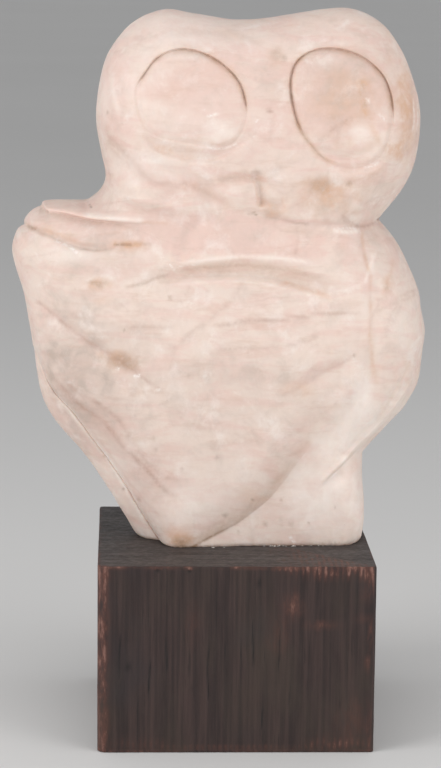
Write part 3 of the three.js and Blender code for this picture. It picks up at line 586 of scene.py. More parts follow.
# Colour in the stone, each kind from the head down. A streak is (strength, half width, *points)
STREAKS = dict(
    blush=[
        (1, 2.5, (-70, 222), (-64.2, 215.9), (-58, 213.8), (-50, 212.9)),
        (0.9, 4, (-52, 197), (-42, 190), (-27, 188), (-12, 181), (-2, 176)),
        (0.7, 4, (-12, 176), (-20, 167), (-27, 156), (-31, 146)),
        (1, 1.6, (-99, 173), (-88, 171), (-80, 168.4), (-70, 167)),
        (0.6, 2.5, (64, 167), (63, 156), (65, 148), (66, 130)),
        (0.6, 3, (-103, 128), (-90, 118), (-76, 108), (-64, 100)),
        (0.8, 3.5, (-94, 88), (-79, 73), (-62, 58), (-50, 44), (-38, 31)),
        (0.7, 4, (-84, 62), (-66, 44), (-50, 22)),
    ],
    vein=[
        (0.5, 1.2, (-8, 264), (3, 260), (11, 256)),
        (0.7, 1.5, (-56, 258), (-40, 260.5), (-25, 262), (-12, 262), (-2, 258)),
        (0.35, 0.6, (36, 241), (48, 241.5), (60, 240.4)),
        (0.7, 1.2, (87, 240), (87.5, 228), (87, 216), (84, 206), (77, 203)),
        (0.45, 0.6, (34, 233), (45, 233.6), (58, 232.8), (70, 233.4)),
        (0.4, 0.6, (33, 228), (44, 228.6), (58, 227.6)),
        (1.3, 0.5, (14, 226.2), (15, 223.6)),
        (0.7, 0.9, (38, 208), (43.8, 212.3), (46.5, 215.7), (50.6, 218.1), (57, 221.5)),
        (0.75, 1.5, (-68.4, 218.7), (-64.9, 210.2), (-58.6, 204), (-52.4, 198.3), (-46.9, 191.6),
         (-42.1, 188.2), (-33.2, 188.3), (-26.4, 187.8), (-19.5, 185.1), (-12.6, 181.3), (-6.4, 177.9),
         (-1.6, 176.1)),
        (0.45, 1.2, (92, 216), (90, 209), (86, 204), (78, 200)),
        (0.5, 1.2, (-68, 209), (-61, 202), (-52, 194)),
        (0.3, 1.2, (8, 192), (15, 188), (24, 183), (30, 190)),
        (0.25, 0.9, (24, 180), (34, 177), (45, 177), (56, 181), (67, 188)),
        (1.2, 0.8, (51.2, 174), (54, 170.1), (57.8, 167.3), (62.4, 165.9), (67.3, 165.9), (72.6, 167.4)),
        (0.7, 0.8, (12, 172.9), (14.8, 171.1), (21.2, 170.2), (30.5, 168), (38, 167.4)),
        (0.6, 0.9, (29.8, 168), (29.8, 160.3), (28.4, 151)),
        (0.4, 0.8, (63, 160), (64.2, 151.7), (66.5, 141), (67.2, 124.2), (66.8, 108)),
        (0.3, 1, (-4, 157), (-3, 149), (-12, 140)),
        (0.5, 0.9, (4, 143), (-2, 133), (-10, 124), (-23, 114), (-32, 106), (-38, 100)),
        (0.35, 0.6, (-24, 138), (-27, 132), (-31, 126)),
        (0.35, 0.6, (-83, 130), (-81, 137)),
        (0.4, 0.8, (-45, 137), (-60, 126), (-74, 120)),
        (0.45, 0.8, (80, 136), (75, 132), (70, 125), (66, 116)),
        (0.45, 0.7, (67, 131), (77, 129), (85, 131), (95, 132)),
        (0.55, 0.9, (66, 121.5), (76.3, 126.7), (84.1, 128.5), (95, 130.2)),
        (0.85, 1, (-107, 130), (-96, 123.6), (-86, 116), (-76.8, 109.3), (-69.7, 105), (-62.6, 101.4),
         (-50, 92), (-32, 80)),
        (0.35, 0.7, (83, 128), (78, 122), (75, 114), (72, 107)),
        (0.35, 0.8, (84, 128), (81.3, 122), (77.5, 115.2), (73.9, 109.1)),
        (0.6, 0.8, (-90, 125), (-76.8, 119.3), (-66.9, 118.4), (-55.6, 116.5), (-39.4, 116.3),
         (-26, 118)),
        (0.85, 0.8, (-17, 119), (-9, 117.6), (8.7, 120.1), (19.3, 119.7), (31, 121.8), (51, 123.8),
         (66, 122.6)),
        (0.6, 0.8, (-13, 104.6), (1.8, 106), (12.4, 105.7), (18, 104.7), (25, 106.8), (34, 109.7),
         (45, 114)),
        (0.45, 1, (62, 104), (52, 97.5), (45, 94), (36, 88.7), (28, 84), (18, 80)),
        (1.3, 0.9, (-97.4, 91.5), (-85.3, 79.9), (-79, 73.8), (-69, 67.6), (-61.8, 59.1), (-56.3, 51.4),
         (-50, 45.8), (-42.7, 38.1), (-38.1, 32.3), (-32.5, 28.4), (-24.3, 25.5)),
        (0.85, 1, (-90, 88), (-80, 81), (-69, 75.3), (-60.9, 68.7), (-56.4, 62.1), (-53.7, 57.4),
         (-48.2, 51.6)),
        (0.35, 0.8, (53, 81), (47, 74), (38, 69), (30, 62), (18, 57)),
        (0.35, 0.8, (-29, 70), (-20, 65), (-11, 63), (0, 61), (12, 56)),
        (0.3, 0.6, (-16, 51), (-9, 55), (0, 57), (10, 56)),
        (0.6, 0.9, (-51, 54), (-49, 51.6), (-44, 44), (-36, 38), (-26, 35)),
        (0.3, 0.6, (-13, 45), (-8, 40), (-5, 34), (2, 31), (8, 28)),
        (0.45, 0.8, (-51, 27), (-49, 25.4), (-42, 20), (-38, 14)),
    ],
    # Rust streaks, with painted shade in a rust tint where marked.
    rust_and_shade=[
        (0.5, 1.8, (76, 266), (76.1, 258.9), (76.4, 253.7), (75, 247)),
        (0.4, 1.6, (-32, 261.5), (-20, 263), (-8, 262.5), (4, 258)),
        (1.4, 2.6, (82.7, 246), (84, 236.1), (84.6, 226.7), (85.3, 219.9), (84.6, 211), (80, 204),
         (76, 202)),
        (1.2, 1.6, (61.4, 242.8), (62.1, 236.8), (60.7, 234.1), (62.2, 227.3), (62.9, 221.9),
         (66.4, 215.2), (71.4, 207)),
        (0.8, 1.6, (27, 222), (33, 211), (40, 203), (50, 197)),
        (0.5, 1.2, (-22, 212), (-16, 210), (-12, 208)),
        (0.6, 1.8, (-48, 211), (-42.9, 206.5), (-36, 203), (-29.9, 201.2), (-20, 200)),
        (0.5, 2.2, (35, 189), (45.7, 186.1), (55.3, 188.3), (66, 192), (74, 199)),
        # The next two are painted shade under the left brow and on the beak's steep right side, in a rust
        # tint.
        (0.65, 2.6, (-14, 189.5), (-5.9, 190), (0.3, 191.2), (8, 193)),
        (0.7, 3.2, (9, 193), (12, 184), (13, 174)),
        (0.45, 3, (-30, 188), (-19, 185), (-10, 180), (-1, 176)),
        (1, 0.8, (-50, 168.2), (-42, 168), (-34, 167.8)),
        (0.9, 1, (62.8, 165.5), (63.4, 158.3), (64.2, 151.7), (65.5, 146.3), (67, 140.8), (67.2, 131)),
        (0.9, 1.4, (-97, 162), (-89.8, 161), (-82.6, 158.6), (-78, 155)),
        (1.1, 1.8, (-64, 156.8), (-57, 157), (-50, 157.3), (-45, 157)),
        (0.6, 1.2, (80, 150), (77, 140), (72, 130)),
        # Painted shade along the chest groove, in a rust tint.
        (0.3, 2.4, (-30, 144), (-14, 146), (6, 146.8), (24, 145.2), (38, 142)),
        (0.8, 1.4, (20, 139.5), (28.6, 136.8), (39.4, 134.2), (50, 130)),
        (0.9, 1.4, (67.2, 134), (67.2, 124.2), (66.7, 109.9), (68, 102.7), (69.6, 93.2), (71, 84)),
        (0.4, 1, (90, 99), (85, 88), (78, 77), (71, 66)),
    ],
    pale=[
        # Every pale streak is a painted highlight: the temple ridge, the upper shoulder lip, the breast
        # ledge and fold, the chest lip and ledge, and the bead of the rear strip.
        (0.7, 1.7, (-63.6, 243.6), (-63.2, 235), (-61.8, 227.1), (-59.7, 220.5)),
        (1.2, 1.4, (-80, 170.6), (-70, 169.9), (-59.3, 169.6), (-45, 169.4)),
        (1.2, 0.9, (47, 164.8), (54.8, 163.8), (62.2, 163.8)),
        (0.9, 1, (71, 155), (70.3, 153), (67.8, 148.2), (64.7, 140.2), (63.6, 137)),
        (1.1, 1.1, (-34, 147.4), (-20, 149.4), (-9, 150.8), (1.5, 151.8), (14.2, 151.5), (26.3, 150.5),
         (42, 147.6)),
        (0.9, 1.6, (-36, 138.5), (-20, 140.4), (-9, 141), (1.5, 141.2), (12, 140), (24, 137)),
        (1.3, 1.5, (-93.5, 78.5), (-87.5, 72.5), (-80.5, 63.5), (-74, 55.5), (-67.5, 47.5), (-61, 38)),
        (1.3, 1.5, (-67.5, 47.5), (-61, 38), (-54.6, 26), (-49.2, 16), (-44, 7)),
    ],
    white=[
        (0.5, 0.5, (91, 232), (91.5, 222), (91, 212)),
        (0.8, 0.4, (62, 231), (65, 229), (69, 228)),
        (0.7, 0.4, (88.5, 230.3), (88.7, 224.9), (89.1, 217.4), (87.5, 212.8)),
        (0.6, 0.3, (-20, 223), (-17, 226), (-12, 228)),
        (0.9, 0.45, (-17.2, 221.4), (-13, 222.6), (-9.5, 223.5)),
        (0.7, 0.4, (67, 223), (71, 222), (73, 219)),
        (0.9, 0.7, (8.3, 220.6), (8.6, 218.8)),
        (0.7, 0.5, (7.2, 212.8), (8.6, 211.4)),
        # The next two are white rough spots with a painted highlight on the lower lips of the eyes.
        (0.6, 0.5, (-17.7, 207.4), (-12.9, 205.7), (-8.1, 205.7), (-3.4, 207.2), (1, 210)),
        (0.6, 0.5, (62, 196.5), (66.8, 197.2), (70.5, 199.5)),
        # The next two are painted highlights: the breast ledge's top and the crest of the lowest shoulder
        # tier.
        (0.8, 0.35, (47, 165.3), (54, 165.8), (61, 165)),
        (0.9, 0.7, (-93, 159), (-86.1, 156.2), (-82, 153.8), (-78, 150.5)),
        (1, 0.6, (-35.4, 148.6), (-33.5, 146.4), (-31.5, 145.2)),
        (0.6, 0.4, (-33, 146.4), (-27, 146.6), (-19, 147.8)),
        (0.6, 0.6, (-50.5, 96.6), (-48, 97), (-44.2, 96.6)),
        (1.2, 0.7, (-61.4, 94.9), (-59.2, 94.4)),
        (1, 0.6, (-52.3, 91.6), (-50.2, 90.6), (-48.6, 92.4)),
        (0.9, 0.6, (-41.6, 83.6), (-38, 84.6)),
        (1.3, 0.4, (28.6, 5.6), (31.2, 2)),
    ],
    dirt_and_shade=[
        (0.2, 1.2, (61.4, 240), (60.7, 234), (62.5, 226)),
        (0.25, 0.6, (56.8, 222.6), (54, 220.6), (51.2, 219.2)),
        (0.4, 0.9, (27, 222), (29.5, 216.5), (33, 211), (40, 203), (46, 198.5)),
        # The next two are painted shade on the beak's steep right side and under the left brow.
        (0.16, 2.6, (7, 194), (10.4, 190), (11.6, 184), (11.6, 176)),
        (0.26, 2, (-12, 189.6), (-3, 190.5), (3, 191.6), (9, 191)),
        (0.1, 3, (-24, 187), (-14, 182), (-4, 177)),
        (0.8, 0.45, (7.8, 174.6), (8.4, 173.2), (9.4, 171.6)),
        (0.3, 0.7, (4.8, 172.9), (8.4, 173)),
        # Painted shade under the overhanging jowl on the right.
        (0.12, 2.6, (49, 172), (56, 168), (64, 167), (72, 168.5)),
        (0.3, 0.5, (27, 168.8), (30.5, 168), (36, 167.6)),
        (0.2, 0.8, (-54, 157.4), (-48, 157.6), (-42, 157)),
        (0.75, 0.7, (-63, 156.8), (-58, 157.1), (-52.5, 157)),
        (0.25, 0.6, (-81, 155.6), (-79.1, 154.5), (-69.9, 153.8), (-61, 155.6)),
        # The next two are painted shade in the chest groove, under its upper lip.
        (0.2, 1.1, (-34, 143.4), (-18, 146), (4, 147), (24, 145.2), (40, 141), (52, 137.4)),
        (0.34, 0.9, (-58, 135.4), (-52.9, 136.8), (-48.6, 137.6), (-45.1, 138.7), (-41.6, 140.4),
         (-33, 142.6)),
        (0.1, 0.7, (-104, 99.5), (-97, 90.5), (-79, 67.5), (-56, 35.5), (-41, 6)),
        # Painted shade on the belly's wall beside the rear strip.
        (0.12, 3, (-96, 89), (-82, 75), (-70, 63), (-57, 46), (-45, 30)),
    ],
)
# Soft patches of colour: (x, height, half width, half height, strength)
PATCHES = dict(
    blush=[
        (40, 262, 40, 10, 0.3), (-33, 262, 18, 9, 0.5), (-62, 240, 9, 24, 0.5), (0, 235, 110, 60, 0.45),
        (52, 234, 25, 22, 1.2), (-24, 234, 28, 18, 0.5), (-60, 165, 55, 12, 0.9), (20, 162, 60, 12, 0.8),
        (-15, 160, 30, 10, 0.5), (4, 160, 9, 12, 0.9), (56, 155, 8, 10, 0.9), (-80, 70, 30, 30, 0.3),
        (-40, 30, 16, 22, 0.6), (45, 20, 26, 20, 0.35),
    ],
    grey=[
        (50, 246, 20, 8, 0.5), (16, 238, 9, 16, 0.5), (51, 234, 24, 22, 0.8), (-74, 200, 8, 24, 0.7),
        (41, 188, 12, 7, 0.8), (66, 182, 16, 12, 0.4), (44, 181, 17, 9, 0.35), (40, 178, 22, 9, 0.5),
        (-70, 178, 22, 6, 0.4), (16, 177, 6, 7, 0.9), (-60, 165, 30, 9, 0.3), (4, 160, 9, 12, 0.4),
        (-72, 150, 28, 15, 0.8), (-82, 112, 18, 30, 0.9), (-62, 108, 26, 14, 0.9),
        # Of the next line, the patch at (-78, 75) is painted shade on the left flank.
        (-90, 105, 20, 30, 0.5), (0, 92, 60, 8, 0.3), (0, 84, 60, 22, 0.45), (-78, 75, 30, 40, 1),
        (-20, 62, 50, 22, 0.25), (-50, 30, 20, 30, 0.4),
    ],
    rust_and_shade=[
        (19, 252, 6, 6, 0.5), (78, 251, 6, 10, 0.3), (-26, 244, 22, 8, 0.12),
        (62.5, 237.5, 3.5, 3.5, 0.9), (-36, 232, 12, 8, 0.25), (84, 231, 5, 13, 0.7),
        (52, 230, 23, 20, 0.75), (85, 222, 8, 26, 0.8), (58, 208, 10, 5, 0.45), (-37, 205, 5, 3, 0.9),
        (76.5, 205, 6, 4, 0.8), (79, 203, 7, 6, 0.8), (41, 187, 12, 6, 0.45), (50, 186, 22, 10, 0.3),
        (44, 181, 17, 9, 0.4), (44, 178, 22, 9, 0.35), (20, 176, 10, 5, 0.5), (16, 175, 6, 6, 0.5),
        (-97, 163, 8, 3, 0.6), (-56, 156.5, 11, 3.5, 0.7), (-70.5, 137.3, 8.5, 4, 1.1),
        (76, 136.5, 4, 6, 0.9), (-67.3, 129.2, 6, 3, 0.8), (-66, 102, 8, 3, 0.5), (-58, 99, 13, 6, 0.95),
        (30, 84, 10, 6, 0.6), (8, 28, 9, 6, 0.6), (-29, 7, 9, 5, 0.9), (-27, 3, 9, 5, 1),
    ],
    pale=[
        (-30, 262, 40, 16, 0.5), (-33, 262, 18, 9, 0.4), (12, 258, 12, 7, 0.25), (44, 249, 8, 2.5, 0.45),
        (-50, 240, 14, 14, 0.5), (-66, 230, 3, 14, 0.3), (-70, 228, 5, 26, 0.5), (-43, 226, 8, 6, 0.4),
        (-24, 220, 30, 16, 0.35), (10, 219, 5, 5, 0.4), (60, 216, 7, 4.5, 0.45), (-9, 214, 9, 7, 0.8),
        # Of the next line, the patch at (-44, 196) is painted light on the left cheek.
        (62, 213, 9, 7, 0.8), (-44, 196, 26, 10, 0.7), (-12, 182, 14, 8, 0.3), (58, 170, 9, 3, 0.35),
        (-47, 152, 5, 2, 0.45), (-82, 152, 14, 5, 0.8), (-70, 118, 14, 6, 0.3), (86, 114, 10, 17, 0.5),
        (64, 84, 6, 14, 0.5), (76, 70, 20, 18, 0.6), (62, 66, 14, 22, 0.8), (48, 55, 13, 11, 0.9),
        (-58, 40, 8, 22, 0.5), (-10, 30, 34, 22, 0.35), (45, 30, 22, 20, 0.7), (48, 22, 26, 26, 0.6),
        (-26, 21, 20, 12, 0.6), (66, 20, 8, 24, 0.3),
    ],
    dirt_and_shade=[
        (18.5, 252.5, 3.5, 4, 0.3), (22.5, 250.5, 1.8, 1.8, 0.4), (55.3, 188.3, 2, 1.3, 0.45),
        (40.5, 187, 6.5, 4, 0.34), (-104, 162.6, 4, 1.5, 0.5), (-68, 138.6, 3.5, 1, 0.5),
        (-73, 138, 3.5, 1.2, 0.45), (-69, 135.8, 2.5, 0.9, 0.5), (75.5, 135.5, 1.3, 2.5, 0.35),
        (-57, 98.5, 9, 5, 0.42), (-27, 4.5, 6, 3, 0.25), (-28, 2, 5, 3, 0.5),
    ],
)
PITS = [
    (-67, 44.2), (-57, 27), (-42, 58.4), (-41, 52.1), (-57, 114.5), (-49, 23.2), (24, 24.7), (24, 11.7),
    (29, 11.1), (16, 12.2), (2, 7.7), (52, 20.9), (38.5, 11.9), (55.7, 4.6), (-27, 41.9), (-10, 48),
    (9, 25.3), (-5, 17.2), (59, 102.1), (-34, 131), (-24, 92), (47, 222), (-66, 222), (72, 46),
]
PIT_RADIUS = 0.75
PIT_DEPTH = 0.4
PIT_DIRT = 0.55
STREAK_FADE = (0.15, 0.15)
VEIN_HALO = 0.3
VEIN_HALO_WIDTH = 3
STAIN_AND_SHADE_REACH = 8.0
CREASE_DIRT_AND_SHADE_NARROWING = 2.2
RAGGED_LUMPS = (5.0, 3)
SLOW_LUMPS = (14.0, 4)
PATCH_RAGGEDNESS = 0.25
PATCH_END = 1.25
MOST_COLOUR = 1.5
# Stains in the eyes' grooves: strength where the groove is shallow and where deep, half width; the halo is
# painted shadow under the brow
EYE_STAIN_AND_SHADOW_AT = 0.25
EYE_DIRT, EYE_DEEP_DIRT, EYE_DIRT_HALF = 0.04, 0.5, 0.75
EYE_SHADOW, EYE_SHADOW_HALF = 0.2, 1.8
EYE_RUST, EYE_DEEP_RUST, EYE_RUST_HALF = 0.2, 0.75, 2.2
# Painted shadow at the shield's edge: a dark line in its step and a band of painted shade above it, with
# half width, end and fade
SHIELD_REACH = 12.0
SHIELD_SHADE, SHIELD_SHADE_HALF, SHIELD_SHADE_END, SHIELD_SHADE_FADE = 0.75, 0.8, 0.26, 0.16
BAND_AT, BAND_HALF, BAND_START, BAND_END, BAND_FADE = 2.5, 3.5, 0.06, 0.62, 0.3
BAND_SHADE, BAND_SHADE_TINT = 0.24, 0.45
# Dirt and painted contact shadow low on the foot: strength and height over which it fades
FOOT_DIRT_AND_SHADOW = [(0.85, 0.6), (0.22, 2.5)]
# Slow waves that hand rubbing leaves: height, size and seed
WAVES = [(0.5, 26.0, 1), (0.12, 8.0, 2)]
WAVE_TURN_OUT = 1.6


def in_pits(directions, points):
    """How far into a pit each point lies, up to 1 in its middle."""
    total = np.zeros(len(points))
    for pit in PITS:
        total += bell(np.hypot(*(points - pit).T) / PIT_RADIUS)
    return np.where(directions[:, 1] <= ON_OUTLINE, total, 0)


def stone_colours(directions, spots):
    """Shares of dirt and painted shade, veins, rust and painted shade, white bruises, pale clouds, blush
    and grey at each point; the pale streaks and some white marks are painted highlights.
    """
    points = spots[:, [0, 2]]
    front = directions[:, 1] <= ON_OUTLINE
    found = {kind: np.zeros(len(points)) for kind in (*STREAKS, *PATCHES)}
    for kind, streaks in STREAKS.items():
        for strength, half, *path in streaks:
            index, distance, _, at = line_through(path).around(points, 4 * half + 2, front)
            core = bell(distance / half)
            if kind == "vein":
                core += VEIN_HALO * bell(distance / (VEIN_HALO_WIDTH * half))
            share = strength * core * fade_ends(at, STREAK_FADE)
            found[kind][index] = np.maximum(found[kind][index], share)
    # Darkening along carved lines: brown stain, and painted shade in the chest groove, shoulder creases
    # and beak edge.
    for item in FRONT_LINES.values():
        if item["dirt_and_shade"]:
            index, distance, left, at = line_through(item["line"]).around(points, STAIN_AND_SHADE_REACH, front)
            spread = np.where(left, item["up"], item["down"]) / CREASE_DIRT_AND_SHADE_NARROWING
            found["dirt_and_shade"][index] += item["dirt_and_shade"] * bell(distance / spread) * fade_ends(at, item["fade"])
    ragged = lumps(spots, *RAGGED_LUMPS)
    slow = lumps(spots, *SLOW_LUMPS)
    for eye in EYES:
        rim = line_through(eye["rim"], closed=True)
        index, distance, left, at = rim.around(points, STAIN_AND_SHADE_REACH, front)
        distance = np.abs(distance * np.where(left, -1, 1) - EYE_STAIN_AND_SHADOW_AT)
        uneven = np.clip(0.62 + 0.55 * slow[index] + 0.2 * ragged[index], 0.15, 1.1)
        deep = eye_depth(eye, at) * uneven
        found["dirt_and_shade"][index] += (EYE_DIRT + EYE_DEEP_DIRT * deep) * bell(distance / EYE_DIRT_HALF)
        # A wider halo of painted shadow where the groove is deep, under the brow.
        found["dirt_and_shade"][index] += EYE_SHADOW * deep * bell(distance / EYE_SHADOW_HALF)
        found["rust_and_shade"][index] += (EYE_RUST * uneven + EYE_DEEP_RUST * deep) * bell(distance / EYE_RUST_HALF)
    # Painted shadow in the shield's step, and a brown band of painted shade on the belly above it.
    index, distance, behind, at = SHIELD.around(points, SHIELD_REACH, front)
    in_line = bell(distance / SHIELD_SHADE_HALF) * smooth((SHIELD_SHADE_END - at) / SHIELD_SHADE_FADE)
    in_band = bell((distance - BAND_AT) / BAND_HALF) * behind
    in_band *= smooth(at / BAND_START) * smooth((BAND_END - at) / BAND_FADE)
    found["dirt_and_shade"][index] += SHIELD_SHADE * in_line
    found["dirt_and_shade"][index] += BAND_SHADE * in_band * (1 + 0.5 * ragged[index])
    found["rust_and_shade"][index] += BAND_SHADE_TINT * in_band * (1 + 0.5 * slow[index])
    for kind, patches in PATCHES.items():
        for x, h, half_x, half_h, strength in patches:
            reach = np.hypot(*((points - (x, h)) / (half_x, half_h)).T) + PATCH_RAGGEDNESS * ragged
            found[kind] += np.where(front, strength * smooth(PATCH_END - reach), 0)
    found["dirt_and_shade"] += PIT_DIRT * in_pits(directions, points)
    # Darker towards the foot: dirt and painted contact shadow.
    height = np.maximum(spots[:, 2], 0)
    for strength, fade in FOOT_DIRT_AND_SHADOW:
        found["dirt_and_shade"] += strength * np.exp(-height / fade) * (0.7 + 0.4 * ragged)
    return {kind: np.clip(value, 0, MOST_COLOUR) for kind, value in found.items()}


def finish_stone(directions, spots):
    """Hand finish: slow undulations of the rubbed surface, pits and a softened foot."""
    wave = sum(height * lumps(spots, size, seed) for height, size, seed in WAVES)
    wave -= PIT_DEPTH * in_pits(directions, spots[:, [0, 2]])
    outward = directions * (1, WAVE_TURN_OUT, 1)
    outward /= np.linalg.norm(outward, axis=1)[:, None]
    moved = spots + outward * wave[:, None]
    above = np.clip(moved[:, 2], 0, FOOT_SOFTENING)
    inset = FOOT_SOFTENING - np.sqrt(FOOT_SOFTENING**2 - (FOOT_SOFTENING - above) ** 2)
    away = moved[:, :2] - FOOT_CENTRE
    away /= np.maximum(np.linalg.norm(away, axis=1), 1e-6)[:, None]
    moved[:, :2] -= away * inset[:, None]
    return moved


def new_object(name, mesh):
    obj = bpy.data.objects.new(name, mesh)
    bpy.context.scene.collection.objects.link(obj)
    return obj


def mesh_from(name, vertices, faces, attributes=None):
    mesh = bpy.data.meshes.new(name)
    mesh.from_pydata([tuple(v) for v in vertices], [], [tuple(int(i) for i in f) for f in faces])
    for key, values in (attributes or {}).items():
        layer = mesh.attributes.new(key, "FLOAT", "POINT")
        layer.data.foreach_set("value", np.asarray(values, np.float32))
    mesh.update()
    return mesh


def shade_smooth(mesh):
    mesh.polygons.foreach_set("use_smooth", [True] * len(mesh.polygons))


def saw_flat(mesh, height):
    """Cuts the mesh level at a height and closes the cut with flat triangles."""
    work = bmesh.new()
    work.from_mesh(mesh)
    geometry = work.verts[:] + work.edges[:] + work.faces[:]
    cut = bmesh.ops.bisect_plane(
        work, geom=geometry, dist=1e-7, plane_co=(0, 0, height), plane_no=(0, 0, 1), clear_inner=True
    )
    edges = [item for item in cut["geom_cut"] if isinstance(item, bmesh.types.BMEdge)]
    filled = bmesh.ops.contextual_create(work, geom=edges)
    bmesh.ops.triangulate(work, faces=filled["faces"])
    bmesh.ops.recalc_face_normals(work, faces=work.faces[:])
    work.to_mesh(mesh)
    work.free()


def make_owl():
    directions, spots, faces = stone_mesh()
    colours = stone_colours(directions, spots)
    moved = finish_stone(directions, spots)
    moved[:, 2] += PLINTH_TOP
    mesh = mesh_from("owl_stone", moved * MM, faces, colours)
    saw_flat(mesh, (PLINTH_TOP - FOOT_SINK) * MM)
    shade_smooth(mesh)
    return new_object("owl_stone", mesh)


# Timber block: grid steps along a side and up it, edge roundings and grain
PLINTH_HALF = (PLINTH_HIGH[0] - PLINTH_LOW[0]) / 2
TOP_ROUND = 0.9
CORNER_ROUNDS = {(-1, -1): 4.5, (1, -1): 2.2, (1, 1): 2.2, (-1, 1): 2.2}
ACROSS_STEP = 0.7
UP_STEP = 3.6
EDGE_STEP = 0.45
EDGE_BAND = 5.0
PITH = (105.0, 20.0)
RING_PITCH = 2.3
RING_RELIEF = 0.05
RING_WARP = 2.6
RING_WARP_SIZE = 30.0
PLANE_DIPS = 0.12
PLANE_DIP_SIZE = 18.0
CRACK_HALF_WIDTH = 0.45
CRACK_DEPTH = 0.45
CRACK_END = 5.0
CRACK_SWAY, CRACK_SWAY_LENGTH = 0.5, 7.0
DENT_DEPTH = 0.35
WORN_EDGE = 2.6
WORN_END = 1.2
SAW_PITCH = 2.9


def graded(low, high, step, edge_step, band):
    """Positions from low to high, closer together near both ends."""
    edge = np.arange(0, band, edge_step)
    count = max(2, round((high - low - 2 * band) / step))
    middle = np.linspace(low + band, high - band, count + 1)
    return np.concatenate([low + edge, middle, high - edge[::-1]])


def plan_round(x, y):
    """Squeezes the square's corners into round ones. Returns the point, the way out and the
    distance in from the edge."""
    out = np.zeros((len(x), 2))
    px, py = x.copy(), y.copy()
    gap_x, gap_y = PLINTH_HALF - np.abs(x), PLINTH_HALF - np.abs(y)
    inset = np.minimum(gap_x, gap_y)
    out[:, 0] = np.where(gap_x <= gap_y, np.sign(x), 0)
    out[:, 1] = np.where(gap_x <= gap_y, 0, np.sign(y))
    for (sx, sy), r in CORNER_ROUNDS.items():
        dx, dy = x * sx - (PLINTH_HALF - r), y * sy - (PLINTH_HALF - r)
        here = (dx > 0) & (dy > 0)
        size = np.hypot(dx[here], dy[here])
        most = np.maximum(dx[here], dy[here])
        ux, uy = dx[here] / size, dy[here] / size
        px[here] = sx * (PLINTH_HALF - r + ux * most)
        py[here] = sy * (PLINTH_HALF - r + uy * most)
        out[here, 0], out[here, 1] = sx * ux, sy * uy
        inset[here] = r - most
    return px, py, out, inset


def ring_wave(x, y, z):
    """Growth rings, from -1 in the soft early wood to 1 in the hard late wood."""
    warp = lumps(np.column_stack([x, y, z * 0.12]), RING_WARP_SIZE, 11) * RING_WARP
    distance = np.hypot(x - PITH[0], y - PITH[1]) + warp
    return np.sin(2 * math.pi * distance / RING_PITCH)


# On the front: fine cracks as (x, low end, high end), dents and nail holes as (x, height, radius)
CRACKS = [(-58.5, 38, 62), (-43.6, 28, 50), (-35, 40, 62), (-14, 26, 58), (8.5, 44, 64)]
DENTS = [
    (-55, 58, 1.1), (-54.5, 44.5, 1.6), (-22, 32.6, 1.2), (11, 88, 1.2), (-40, 94.5, 1.2), (-24, 94, 1),
]
HOLES = [(-63.6, 14, 0.7), (-55.4, 14, 0.9), (-48.4, 14, 0.8)]
# Places on the front where the stain has rubbed through: centre, half sizes, strength, and
# whether saw marks show in them
WORN_PATCHES = [
    ((52, 94.6), (34, 4.4), 1.2, True), ((28, 76), (7, 9), 0.95, False), ((20, 64), (6, 16), 0.75, False),
    ((43, 67), (13, 1.6), 0.9, False), ((64, 69), (8, 1.4), 0.9, False), ((67, 62), (2, 7), 0.9, False),
    ((66, 46), (2.5, 6), 1, False), ((60, 17), (12, 14), 0.5, False), ((52, 5), (24, 4), 0.9, True),
    ((68, 7), (2.5, 10), 1.1, False), ((-48, 5), (18, 4), 0.45, True), ((-22, 66), (5, 14), 0.3, False),
    ((66, 88), (5, 12), 0.6, False), ((0, 3), (60, 2), 0.45, True), ((24, 95.2), (16, 1.2), 0.8, True),
    ((-66.5, 92), (2.6, 5), 0.9, False), ((-40, 95.4), (3, 0.9), 0.8, False),
    ((-23.5, 95.4), (1.6, 0.9), 0.9, False), ((-9, 95.4), (2, 0.8), 0.7, False),
    ((-67.2, 8), (2.2, 8), 0.6, False),
]


def timber_grid():
    """Points and faces of the plain block, finer towards its edges."""
    axis = graded(-PLINTH_HALF, PLINTH_HALF, ACROSS_STEP, EDGE_STEP, EDGE_BAND)
    levels = graded(PLINTH_LOW[2], PLINTH_TOP, UP_STEP, EDGE_STEP, EDGE_BAND)[:-1]
    n = len(axis)
    ring = [(i, 0) for i in range(n - 1)] + [(n - 1, j) for j in range(n - 1)]
    ring += [(i, n - 1) for i in range(n - 1, 0, -1)] + [(0, j) for j in range(n - 1, 0, -1)]
    ring = np.array(ring)
    count = len(ring)
    side = np.array([(axis[i], axis[j], z) for z in levels for i, j in ring])
    gx, gy = np.meshgrid(axis, axis, indexing="ij")
    top = np.column_stack([gx.ravel(), gy.ravel(), np.full(n * n, PLINTH_TOP)])
    first_top = len(side)
    faces = []
    edge_ids = [first_top + i * n + j for i, j in ring]
    for k in range(len(levels)):
        below = range(k * count, (k + 1) * count)
        above = range((k + 1) * count, (k + 2) * count) if k + 1 < len(levels) else edge_ids
        for s in range(count):
            t = (s + 1) % count
            faces.append((below[s], below[t], above[t], above[s]))
    for i in range(n - 1):
        for j in range(n - 1):
            a = first_top + i * n + j
            faces.append((a, a + n, a + n + 1, a + 1))
    faces.append(tuple(range(count))[::-1])
    return np.vstack([side, top]), faces


